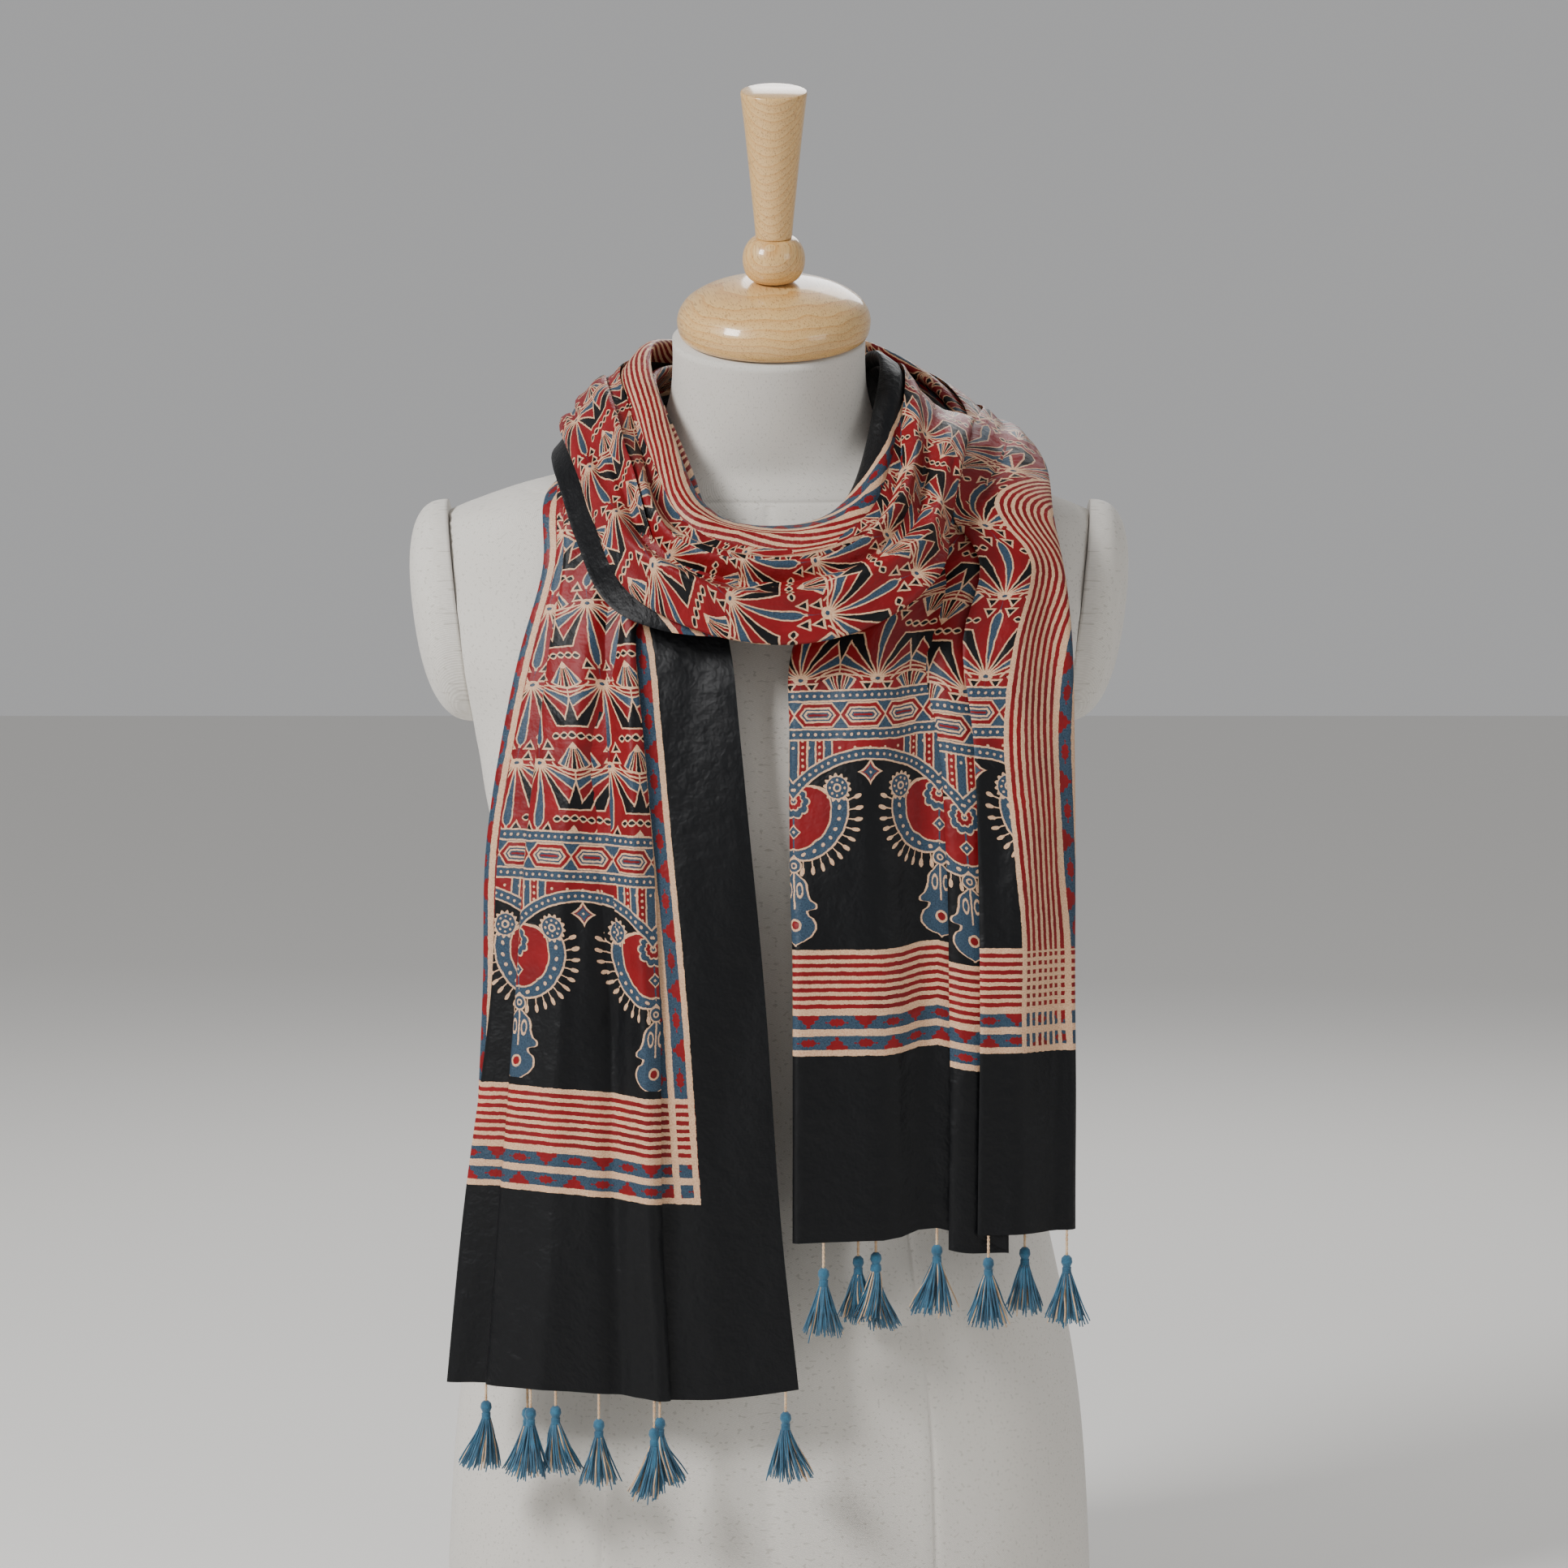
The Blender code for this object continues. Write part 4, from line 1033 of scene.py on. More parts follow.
def border_masks(tree, along, across, start, stripe_pitch):
    """Cream, blue and red masks of one border: its bands, with the spots in their blue."""
    stops = border_stops(start, stripe_pitch)
    split = add(tree, "ShaderNodeSeparateXYZ", bands(tree, across, stops, start + BORDER_REACH, start - 1))
    cream, blue, red = split.outputs[0], split.outputs[1], split.outputs[2]
    reds = spots(tree, along, across, start)
    spotted = add(tree, "MAXIMUM", red, both(tree, reds, blue))
    return cream, add(tree, "SUBTRACT", blue, reds, use_clamp=True), spotted


def border(tree, place, inside, inside_name):
    """Lays the side border, the end border, their plaid corners and the black edges over what is
    inside."""
    w, e, s, t = (place[k] for k in ("w", "e", "s", "t"))
    side_cream, side_blue, side_red = border_masks(tree, t, w, BLACK_EDGE, SIDE_STRIPE_PITCH)
    side = inks(tree, side_cream, side_blue, side_red)
    in_side = add(tree, "LESS_THAN", w, FIELD_EDGE)
    if inside_name == "hem":
        across_s = add(tree, "ADD", s, 5.0)
        end_cream, end_blue, end_red = border_masks(tree, across_s, e, HEM_BLACK, END_STRIPE_PITCH)
        corner_cream = both(tree, in_side, side_cream)
        end_inks = inks(tree, either(tree, end_cream, corner_cream), end_blue, end_red)
        inside_end = add(tree, "LESS_THAN", e, ARCH_START)
        side_inks = add(tree, "ShaderNodeMixRGB", in_side, inside, side)
        drawn = add(tree, "ShaderNodeMixRGB", inside_end, side_inks, end_inks)
        past_side = add(tree, "GREATER_THAN", w, BLACK_EDGE)
        printed = both(tree, past_side, add(tree, "GREATER_THAN", e, HEM_BLACK))
        return add(tree, "ShaderNodeMixRGB", printed, INKS["black"], drawn)
    if inside_name == "arcade":
        inside = add(tree, "ShaderNodeMixRGB", add(tree, "LESS_THAN", e, ARCH_START), inside, INKS["cream"])
    return add(tree, "ShaderNodeMixRGB", in_side, inside, side)


# %% [markdown]
# The field repeats one flower. From a small ring, rays fan out like a half opened lotus on both sides,
# a long indigo drop hangs between them, and a basket of seeds stands between two flowers, over a row of
# beads. Half of the repeat is drawn and mirrored, and each outline is a line or curve with a cream rule
# along it.
# %% Field

FLOWER_PITCH = 45.0
FLOWER_ROWS = 46.98
FLOWER_FIRST = 42.0
FLOWER_START = 358.0
PETAL = ((0, 0.3), (3, 0.35), (9, 1.0), (18, 1.9), (26, 2.7), (31, 2.9), (35, 2.2), (37.5, 0.4), (47, 0))
RAYS = (63.0, 48.3, 34.0, 21.0, 9.0)
RULE = 0.46
SEED_STOPS = (
    (0.0, "black"), (4.5, "cream"), (7.5, "red"), (14.0, "cream"),
    (17.0, "black"), (20.5, "cream"), (23.5, "blue"), (34.0, "cream"),
)


def field(tree, place):
    """Inks of the flower repeat at s, t."""
    half = FLOWER_PITCH / 2
    from_flower = add(tree, "SUBTRACT", place["s"], FLOWER_FIRST)
    x = add(tree, "ABSOLUTE", add(tree, "WRAP", from_flower, half, -half))
    down = add(tree, "SUBTRACT", FLOWER_START, place["t"])
    y = add(tree, "WRAP", down, FLOWER_ROWS, 0.0)
    yb = add(tree, "WRAP", down, FLOWER_ROWS / 2, -FLOWER_ROWS / 2)
    point = add(tree, "ShaderNodeCombineXYZ", x, y)
    axis = add(tree, "SUBTRACT", half, x)

    petal = outline(tree, y, 0, 47, PETAL, 4.0)
    petal_rule = both(tree, add(tree, "COMPARE", x, petal, RULE), add(tree, "LESS_THAN", y, 38.2))
    petal_fill = add(tree, "LESS_THAN", x, petal)

    turn = add(tree, "ARCTAN2", y, x)
    above_foot = add(tree, "LESS_THAN", y, 25.5)
    in_crown = both(tree, above_foot, add(tree, "LESS_THAN", turn, math.radians(RAYS[0])))
    valley = beyond(tree, point, 18.4, 24.35)
    under_ray = add(tree, "LESS_THAN", turn, math.radians(RAYS[1]))
    in_rays = both(tree, in_crown, under_ray, add(tree, "LESS_THAN", valley, 0.0))
    blue_ray = both(tree, in_rays, add(tree, "COMPARE", turn, math.radians(27.5), math.radians(6.5)))
    red_ray = add(tree, "SUBTRACT", in_rays, blue_ray)
    first_ray = beyond(tree, point, RAYS[0] + 90, 0.0)
    rules = [both(tree, above_foot, add(tree, "COMPARE", first_ray, 0.0, RULE))]
    for ray in RAYS[1:]:
        close = add(tree, "COMPARE", beyond(tree, point, ray + 90, 0.0), 0.0, RULE * 0.9)
        rules.append(both(tree, add(tree, "LESS_THAN", valley, RULE), close, above_foot))
    on_valley = add(tree, "COMPARE", valley, 0.0, RULE)
    zigzag = both(tree, on_valley, add(tree, "LESS_THAN", turn, math.radians(RAYS[1] + 1.5)))
    stem = both(tree, add(tree, "LESS_THAN", axis, RULE), add(tree, "COMPARE", y, 7.2, 3.2))
    foot = both(tree, add(tree, "COMPARE", y, 25.5, RULE), add(tree, "GREATER_THAN", x, 12.6))
    crown_black = add(tree, "SUBTRACT", in_crown, in_rays, use_clamp=True)

    tip = add(tree, "ADD", yb, 12.7)
    far = distance(tree, axis, tip)
    seeds_turn = add(tree, "MULTIPLY", add(tree, "ARCTAN2", axis, tip), 180 / math.pi)
    in_seeds = both(tree, add(tree, "LESS_THAN", far, 15.2), add(tree, "LESS_THAN", seeds_turn, 37.0))
    seeds_rule = both(tree, add(tree, "LESS_THAN", far, 16.0), add(tree, "LESS_THAN", seeds_turn, 40.0))
    seed_band = bands(tree, seeds_turn, SEED_STOPS, 45.0)
    seed_inks = add(tree, "ShaderNodeMixRGB", add(tree, "LESS_THAN", far, 4.2), seed_band, INKS["cream"])
    bowl = both(tree, add(tree, "COMPARE", far, 17.1, 0.9), add(tree, "LESS_THAN", seeds_turn, 42.0))
    bowl_rule = both(tree, add(tree, "COMPARE", far, 18.4, 0.5), add(tree, "LESS_THAN", seeds_turn, 50.0))

    heart_across = add(tree, "MULTIPLY", add(tree, "POWER", x, 2.0), 0.055)
    heart_along = add(tree, "MULTIPLY", add(tree, "POWER", add(tree, "ABSOLUTE", yb), 2.0), 0.14)
    heart = add(tree, "ADD", heart_across, heart_along)
    heart_cream = add(tree, "LESS_THAN", heart, 1.0)
    heart_dot = add(tree, "LESS_THAN", heart, 0.14)

    peg = add(tree, "ABSOLUTE", add(tree, "SUBTRACT", x, 6.3))
    fall = add(tree, "ADD", add(tree, "WRAP", yb, -1.6, -7.9), 7.9)
    in_pegs = add(tree, "COMPARE", yb, -7.9, 6.3)
    peg_edge = add(tree, "SUBTRACT", add(tree, "MULTIPLY", fall, 0.66), peg)
    peg_cream = both(tree, in_pegs, add(tree, "GREATER_THAN", peg_edge, 0.0))
    in_peg = add(tree, "GREATER_THAN", peg_edge, 1.15)
    peg_black = both(tree, in_pegs, in_peg, add(tree, "LESS_THAN", fall, 5.3))

    swing = add(tree, "ABSOLUTE", add(tree, "COSINE", add(tree, "MULTIPLY", axis, math.pi / 5.2)))
    sag = add(tree, "ABSOLUTE", add(tree, "SUBTRACT", add(tree, "MULTIPLY_ADD", axis, -0.09, y), 30.4))
    bead_edge = add(tree, "SUBTRACT", add(tree, "MULTIPLY_ADD", swing, 1.7, 0.45), sag)
    in_beads = add(tree, "LESS_THAN", axis, 13.0)
    bead_cream = both(tree, in_beads, add(tree, "GREATER_THAN", bead_edge, 0.0))
    bead_dark = both(tree, in_beads, add(tree, "GREATER_THAN", bead_edge, 1.0))

    small = (heart_cream, peg_cream, bead_cream)
    cream = either(tree, petal_rule, *rules, zigzag, stem, foot, bowl_rule, *small)
    black = either(tree, crown_black, bowl, peg_black, bead_dark)
    over = either(tree, peg_black, bead_dark, heart_dot)
    cream = add(tree, "SUBTRACT", cream, over, use_clamp=True)
    blue = either(tree, petal_fill, blue_ray, heart_dot)
    dark = add(tree, "SUBTRACT", black, red_ray, use_clamp=True)
    red = add(tree, "SUBTRACT", 1.0, dark, use_clamp=True)
    base = inks(tree, cream, blue, red)
    with_rule = add(tree, "ShaderNodeMixRGB", seeds_rule, base, INKS["cream"])
    return add(tree, "ShaderNodeMixRGB", in_seeds, with_rule, seed_inks)


# %% [markdown]
# Dotted indigo bands close off the field at both ends, with a chain of long hexagons between them, and
# from them hangs an arcade: columns, round arches, a star in each arch, and a pair of paisleys that
# meet at a pendant under each column.
# %% Arcade

ARCH_PITCH = 90.0
ARCH_RADIUS = 58.7
ARCH_CROWN = 7.4
STAR_A = 192.0
STAR_B = 217.0
HEXAGON_PITCH = 26.6
PAISLEY_CENTRE = (8.0, 44.0)
PAISLEY_OUTER = (
    (-180, 19.5), (-120, 19), (-95, 18.5), (-50, 19.5), (-45, 25.5), (-23, 25.5), (5, 22.6),
    (31, 21.0), (62, 21.5), (87, 23.2), (101, 24.0), (114, 22.0), (135, 19.5), (180, 19.5),
)
PAISLEY_INNER = (
    (-180, 19.5), (-120, 19), (-95, 18.5), (-47, 18.2), (-17, 14.2),
    (24, 12.4), (71, 13.4), (109, 18.6), (135, 19.5), (180, 19.5),
)
PENDANT = (
    (74, 0.5), (77, 3.8), (81, 7.0), (86, 7.8), (90, 9.4), (93.5, 12.6), (95.2, 11.4), (96.2, 7.0),
    (98, 7.4), (101, 10.8), (105, 12.0), (109, 10.2), (112, 6.8), (114.5, 1.6), (115.5, 0.0),
)
DOTTED_STOPS = (
    (0.0, "cream"), (1.0, "blue"), (6.0, "cream"), (7.0, "black"),
    (22.0, "cream"), (23.0, "blue"), (28.0, "cream"), (29.0, "red"),
)
HEXAGON_STOPS = (
    (0.0, "red"), (0.6, "blue"), (1.5, "cream"), (2.5, "blue"),
    (3.4, "cream"), (4.4, "red"), (6.3, "cream"), (7.2, "blue"),
)
COLUMN_STOPS = (
    (0.0, "blue"), (2.4, "cream"), (3.4, "red"), (7.6, "cream"), (8.6, "blue"), (12.4, "cream"),
    (13.4, "red"), (17.0, "cream"), (18.0, "blue"), (22.0, "cream"), (23.0, "red"),
)
FLOWER_STOPS = (
    (0.0, "blue"), (0.13, "cream"), (0.22, "red"), (0.48, "cream"), (0.57, "blue"), (0.9, "cream"),
)


def dots(tree, along, across, middle, pitch, size):
    """Round dots of that radius, every pitch, along a line."""
    step = add(tree, "WRAP", along, pitch / 2, -pitch / 2)
    off = add(tree, "SUBTRACT", across, middle)
    return add(tree, "LESS_THAN", distance(tree, step, off), size)


def dotted_bands(tree, place):
    """The two dotted bands and the chain of hexagons between them, by distance from the arcade's top."""
    rise = add(tree, "SUBTRACT", place["e"], ARCH_TOP)
    rows = bands(tree, rise, DOTTED_STOPS, 32.0)
    low_beads = dots(tree, place["s"], rise, 3.5, 4.2, 0.85)
    beads = either(tree, low_beads, dots(tree, place["s"], rise, 25.5, 4.2, 0.85))
    rows = add(tree, "ShaderNodeMixRGB", beads, rows, INKS["cream"])
    half = HEXAGON_PITCH / 2
    h = add(tree, "ABSOLUTE", add(tree, "WRAP", place["s"], half, -half))
    v = add(tree, "ABSOLUTE", add(tree, "SUBTRACT", rise, 14.5))
    slope = add(tree, "MULTIPLY_ADD", v, 0.6, add(tree, "MULTIPLY_ADD", h, 0.79, -3.94))
    depth = add(tree, "MAXIMUM", v, slope)
    ring = bands(tree, depth, HEXAGON_STOPS, 12.0)
    chain = add(tree, "COMPARE", rise, 14.5, 7.5)
    return add(tree, "ShaderNodeMixRGB", chain, rows, ring)


def arcade(tree, place, star):
    """Inks of the arches at s, e; star is the place across of one arch's middle."""
    half = ARCH_PITCH / 2
    x = add(tree, "ABSOLUTE", add(tree, "WRAP", add(tree, "SUBTRACT", place["s"], star), half, -half))
    p = add(tree, "SUBTRACT", half, x)
    d = add(tree, "SUBTRACT", ARCH_TOP, place["e"])
    centre = ARCH_CROWN + ARCH_RADIUS
    arch_y = add(tree, "SUBTRACT", centre, d)
    rho = distance(tree, x, arch_y)
    upper = add(tree, "LESS_THAN", d, 40.0)
    arc = add(tree, "MULTIPLY", add(tree, "ARCTAN2", x, arch_y), ARCH_RADIUS)
    in_arch = both(tree, upper, add(tree, "COMPARE", rho, ARCH_RADIUS, 3.6))
    arch_rule = both(tree, in_arch, add(tree, "SUBTRACT", 1.0, add(tree, "COMPARE", rho, ARCH_RADIUS, 2.6)))
    arch_dots = both(tree, upper, dots(tree, arc, rho, ARCH_RADIUS, 4.2, 0.85))
    above = both(tree, upper, add(tree, "GREATER_THAN", rho, ARCH_RADIUS + 2.0))
    columns = bands(tree, p, COLUMN_STOPS, 50.0)
    column_dots = either(tree, dots(tree, d, p, 5.5, 3.6, 0.8), dots(tree, d, p, 15.2, 3.6, 0.8))
    studs = either(tree, column_dots, dots(tree, p, d, 4.0, 9.0, 0.8))
    columns = add(tree, "ShaderNodeMixRGB", studs, columns, INKS["cream"])

    star_up = add(tree, "POWER", add(tree, "ABSOLUTE", add(tree, "SUBTRACT", d, 17.5)), 0.72)
    star_point = add(tree, "ADD", add(tree, "POWER", x, 0.72), star_up)
    star_cream = add(tree, "LESS_THAN", star_point, 4.35)
    star_red = add(tree, "LESS_THAN", star_point, 3.55)
    star_blue = add(tree, "LESS_THAN", star_point, 3.0)
    star_dot = add(tree, "LESS_THAN", star_point, 1.0)

    px = add(tree, "SUBTRACT", p, PAISLEY_CENTRE[0])
    py = add(tree, "SUBTRACT", d, PAISLEY_CENTRE[1])
    r = distance(tree, px, py)
    phi = add(tree, "MULTIPLY", add(tree, "ARCTAN2", py, px), 180 / math.pi)
    outer = outline(tree, phi, -180, 180, PAISLEY_OUTER, 30.0, smooth=False)
    inner = outline(tree, phi, -180, 180, PAISLEY_INNER, 30.0, smooth=False)
    below_arch = add(tree, "LESS_THAN", rho, ARCH_RADIUS - 2.0)
    in_body = both(tree, below_arch, add(tree, "LESS_THAN", r, outer))
    in_heart = both(tree, below_arch, add(tree, "LESS_THAN", r, inner))
    rules = either(tree, add(tree, "COMPARE", r, outer, 0.55), add(tree, "COMPARE", r, inner, 0.5))
    body_rule = both(tree, below_arch, rules)
    mid = add(tree, "MULTIPLY", add(tree, "ADD", outer, inner), 0.5)
    round_body = add(tree, "MULTIPLY", phi, 0.31)
    body_dots = both(tree, in_body, dots(tree, round_body, add(tree, "SUBTRACT", r, mid), 0.0, 6.0, 1.1))
    in_fringe = add(tree, "COMPARE", phi, 38.0, 66.0)
    lash = add(tree, "MULTIPLY", add(tree, "WRAP", phi, 6.0, -6.0), 0.47)
    reach = add(tree, "SUBTRACT", r, outer)
    on_lash = add(tree, "COMPARE", lash, 0.0, 0.38)
    stalk = both(tree, in_fringe, on_lash, add(tree, "COMPARE", reach, 3.0, 3.0))
    bud_up = add(tree, "MULTIPLY", add(tree, "SUBTRACT", reach, 6.4), 0.8)
    bud_far = distance(tree, add(tree, "MULTIPLY", lash, 1.9), bud_up)
    bud = both(tree, in_fringe, add(tree, "LESS_THAN", bud_far, 2.0))

    hx = add(tree, "SUBTRACT", p, 25.5)
    hy = add(tree, "SUBTRACT", d, 26.5)
    head = distance(tree, hx, hy)
    head_turn = add(tree, "ARCTAN2", hy, hx)
    teeth = add(tree, "MULTIPLY_ADD", add(tree, "SINE", add(tree, "MULTIPLY", head_turn, 14.0)), 0.75, 7.5)
    head_cream = add(tree, "LESS_THAN", head, teeth)
    head_inks = bands(tree, head, ((0.0, "blue"), (1.3, "cream"), (2.3, "blue"), (6.1, "cream")), 12.0)
    head_dots = dots(tree, add(tree, "MULTIPLY", head_turn, 4.3), head, 4.3, 3.37, 0.66)

    fy = add(tree, "SUBTRACT", d, 34.0)
    flower = distance(tree, p, fy)
    flower_turn = add(tree, "ARCTAN2", p, fy)
    lobes = add(tree, "ABSOLUTE", add(tree, "SINE", add(tree, "MULTIPLY", flower_turn, 5.0)))
    lopsided = add(tree, "MULTIPLY_ADD", add(tree, "COSINE", flower_turn), 0.9, 8.2)
    size = add(tree, "MULTIPLY_ADD", lobes, 1.5, lopsided)
    flower_part = add(tree, "DIVIDE", flower, size)
    flower_inks = bands(tree, flower_part, FLOWER_STOPS, 1.2)
    in_flower = add(tree, "LESS_THAN", flower_part, 1.0)
    gem = add(tree, "ADD", p, add(tree, "ABSOLUTE", add(tree, "SUBTRACT", d, 51.5)))
    gem_inks = bands(tree, gem, ((0.0, "cream"), (1.0, "blue"), (3.2, "cream")), 6.0)

    knot = distance(tree, p, add(tree, "SUBTRACT", d, 70.5))
    knot_inks = bands(tree, knot, ((0.0, "blue"), (1.0, "cream"), (1.9, "blue"), (3.6, "cream")), 6.0)
    tail = outline(tree, d, 74, 116, PENDANT, 14.0)
    in_tail = add(tree, "LESS_THAN", p, tail)
    tail_rule = both(tree, add(tree, "COMPARE", p, tail, 0.6), add(tree, "COMPARE", d, 95.0, 21.0))
    spine = both(tree, add(tree, "LESS_THAN", p, 0.5), add(tree, "COMPARE", d, 85.0, 10.0))
    leaf_x = add(tree, "MULTIPLY", add(tree, "SUBTRACT", p, 3.3), 2.4)
    leaf = distance(tree, leaf_x, add(tree, "SUBTRACT", d, 84.5))
    leaf_rule = add(tree, "COMPARE", leaf, 3.8, 0.9)
    drop = distance(tree, p, add(tree, "SUBTRACT", d, 104.0))
    drop_inks = bands(tree, drop, ((0.0, "red"), (2.3, "cream"), (3.5, "blue")), 6.0)

    black = INKS["black"]
    drawn = add(tree, "ShaderNodeMixRGB", in_body, black, INKS["blue"])
    drawn = add(tree, "ShaderNodeMixRGB", in_heart, drawn, INKS["red"])
    drawn = add(tree, "ShaderNodeMixRGB", in_tail, drawn, INKS["blue"])
    in_drop = both(tree, in_tail, add(tree, "LESS_THAN", drop, 4.0))
    drawn = add(tree, "ShaderNodeMixRGB", in_drop, drawn, drop_inks)
    leaf_cream = both(tree, in_tail, leaf_rule)
    creams = either(tree, body_rule, body_dots, stalk, bud, tail_rule, spine, leaf_cream)
    drawn = add(tree, "ShaderNodeMixRGB", creams, drawn, INKS["cream"])
    drawn = add(tree, "ShaderNodeMixRGB", in_flower, drawn, flower_inks)
    drawn = add(tree, "ShaderNodeMixRGB", add(tree, "LESS_THAN", gem, 4.2), drawn, gem_inks)
    drawn = add(tree, "ShaderNodeMixRGB", add(tree, "LESS_THAN", knot, 4.5), drawn, knot_inks)
    drawn = add(tree, "ShaderNodeMixRGB", head_cream, drawn, head_inks)
    drawn = add(tree, "ShaderNodeMixRGB", head_dots, drawn, INKS["cream"])
    for mask, ink in ((star_cream, "cream"), (star_red, "red"), (star_blue, "blue"), (star_dot, "cream")):
        drawn = add(tree, "ShaderNodeMixRGB", mask, drawn, INKS[ink])
    drawn = add(tree, "ShaderNodeMixRGB", above, drawn, columns)
    drawn = add(tree, "ShaderNodeMixRGB", in_arch, drawn, INKS["blue"])
    return add(tree, "ShaderNodeMixRGB", either(tree, arch_rule, arch_dots), drawn, INKS["cream"])


# %% [markdown]
# The cloth is modal satin: a fine, supple weave with a soft lustre. Where the resist was, the undyed
# yarn is stained here and there by the red vat; indigo takes unevenly and looks mottled; the iron black
# is nearly even, and its faint lighter speckle is painted sheen, the satin's glint put into the colour.
# So each dye is a mix of two tones, chosen by noise at the size of the speckle in real prints. The
# satin's ribs are a tenth of a millimetre; they are drawn at 0.9 mm so that they show.
# %% Dyed cloth material


def dyed_satin(name, draw):
    """A material whose ink masks come from draw(tree, place)."""
    material, tree, shader = finish_with(name, Roughness=0.42)
    place = cloth_places(tree)
    masks = add(tree, "ShaderNodeSeparateXYZ", draw(tree, place))
    speckle_look = {"Scale": 1.15, "Detail": 2.0, "Roughness": 0.7}
    speckle = add(tree, "ShaderNodeTexNoise", place["flat"], to=speckle_look)
    blotch = add(tree, "ShaderNodeTexNoise", place["flat"], to={"Scale": 0.035, "Detail": 3.0})
    strong = add(tree, "MULTIPLY_ADD", speckle, 3.2, -1.25, use_clamp=True)
    soft = add(tree, "MULTIPLY_ADD", blotch, 2.2, -0.6, use_clamp=True)
    stain = add(tree, "MULTIPLY", strong, 0.75)
    # Black with a lighter speckle: painted sheen, the glint of the satin, mixed into the base colour.
    colour = add(tree, "ShaderNodeMixRGB", add(tree, "MULTIPLY", strong, 0.8), BLACK, BLACK_PAINTED_SHEEN)
    reds = add(tree, "ShaderNodeMixRGB", soft, MADDER, MADDER_DEEP)
    colour = add(tree, "ShaderNodeMixRGB", masks.outputs[2], colour, reds)
    blues = add(tree, "ShaderNodeMixRGB", strong, INDIGO, INDIGO_DEEP)
    colour = add(tree, "ShaderNodeMixRGB", masks.outputs[1], colour, blues)
    creams = add(tree, "ShaderNodeMixRGB", stain, CREAM, CREAM_STAINED)
    colour = add(tree, "ShaderNodeMixRGB", masks.outputs[0], colour, creams)
    tree.links.new(colour.outputs[0], shader.inputs["Base Color"])
    split = add(tree, "ShaderNodeSeparateXYZ", place["flat"])
    diagonal = add(tree, "ADD", split.outputs[0], split.outputs[1])
    rib = add(tree, "SINE", add(tree, "MULTIPLY", diagonal, 2 * math.pi / 0.9))
    crease_look = {"Scale": 0.05, "Detail": 4.0, "Roughness": 0.62}
    crease = add(tree, "ShaderNodeTexNoise", place["flat"], to=crease_look)
    height = add(tree, "MULTIPLY_ADD", rib, 0.05, add(tree, "MULTIPLY", crease, 5.0))
    height = add(tree, "MULTIPLY_ADD", speckle, 0.12, height)
    bump = add(tree, "ShaderNodeBump", to={"Strength": 0.45, "Distance": 0.001, "Height": height})
    tree.links.new(bump.outputs[0], shader.inputs["Normal"])
    shader.inputs["Sheen Weight"].default_value = 0.03
    shader.inputs["Sheen Roughness"].default_value = 0.4
    shader.inputs["Specular IOR Level"].default_value = 0.24
    return material


def draw_field(tree, place):
    """The flower repeat, with the dotted band that closes it at each end."""
    flowers = field(tree, place)
    ends = add(tree, "LESS_THAN", place["e"], FIELD_START)
    closed = add(tree, "ShaderNodeMixRGB", ends, flowers, dotted_bands(tree, place))
    return border(tree, place, closed, "field")


def draw_side(tree, place):
    """The long border and the black edge."""
    drawn = border(tree, place, INKS["red"], "side")
    printed = add(tree, "GREATER_THAN", place["w"], BLACK_EDGE)
    return add(tree, "ShaderNodeMixRGB", printed, INKS["black"], drawn)


def draw_hem(tree, place):
    """The end border and the black hem."""
    return border(tree, place, INKS["black"], "hem")


def draw_arcade(star):
    """The arcade of one end, with the middle of an arch at that place across the cloth."""

    def draw(tree, place):
        """The arcade and the dotted bands above it."""
        arches = arcade(tree, place, star)
        above = add(tree, "GREATER_THAN", place["e"], ARCH_TOP)
        inside = add(tree, "ShaderNodeMixRGB", above, arches, dotted_bands(tree, place))
        return border(tree, place, inside, "arcade")

    return draw


cloth_materials = [
    dyed_satin("modal_satin_field", draw_field),
    dyed_satin("modal_satin_border", draw_side),
    dyed_satin("modal_satin_hem", draw_hem),
    dyed_satin("modal_satin_arcade_a", draw_arcade(STAR_A)),
    dyed_satin("modal_satin_arcade_b", draw_arcade(STAR_B)),
]
stole = link_piece("stole", cloth, *cloth_materials)
cloth.set_sharp_from_angle(angle=math.radians(75))


def choose_regions(mesh):
    """Gives each face the material of the region that its middle lies in."""
    count = len(mesh.polygons)
    corner = np.empty(len(mesh.loops) * 2)
    mesh.uv_layers["flat"].data.foreach_get("uv", corner)
    starts = np.empty(count, int)
    mesh.polygons.foreach_get("loop_start", starts)
    totals = np.empty(count, int)
    mesh.polygons.foreach_get("loop_total", totals)
    corner = corner.reshape(-1, 2) / MM
    middle = np.add.reduceat(corner, starts, axis=0) / totals[:, None]
    w = CLOTH_WIDTH / 2 - np.abs(middle[:, 0] - CLOTH_WIDTH / 2)
    e = CLOTH_LENGTH / 2 - np.abs(middle[:, 1] - CLOTH_LENGTH / 2 - END_SHIFT)
    region = np.zeros(count, int)
    region[w < FIELD_EDGE - 14] = 1
    arches = (e < FIELD_START - 3.5) & (w >= FIELD_EDGE - 14)
    region[arches & (middle[:, 1] < CLOTH_LENGTH / 2)] = 3
    region[arches & (middle[:, 1] > CLOTH_LENGTH / 2)] = 4
    region[e < ARCH_START - 0.2] = 2
    mesh.polygons.foreach_set("material_index", region)
    print("faces by region:", np.bincount(region).tolist())


choose_regions(cloth)
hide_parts("scarf")
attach(stole, "root")

# %% [markdown]
# Sixteen tassels hang from the hems, each on a twisted cream thread, from the point of the hem that is
# nearest the model's own plain tassel. A tassel is a bunch of soft yarns bound round with the same yarn
# under its knot. Each yarn is its own thin tube that leaves the binding and flares a little, so no two
# tassels are alike.
# %% Tassels

TASSEL_DROP = 0.9
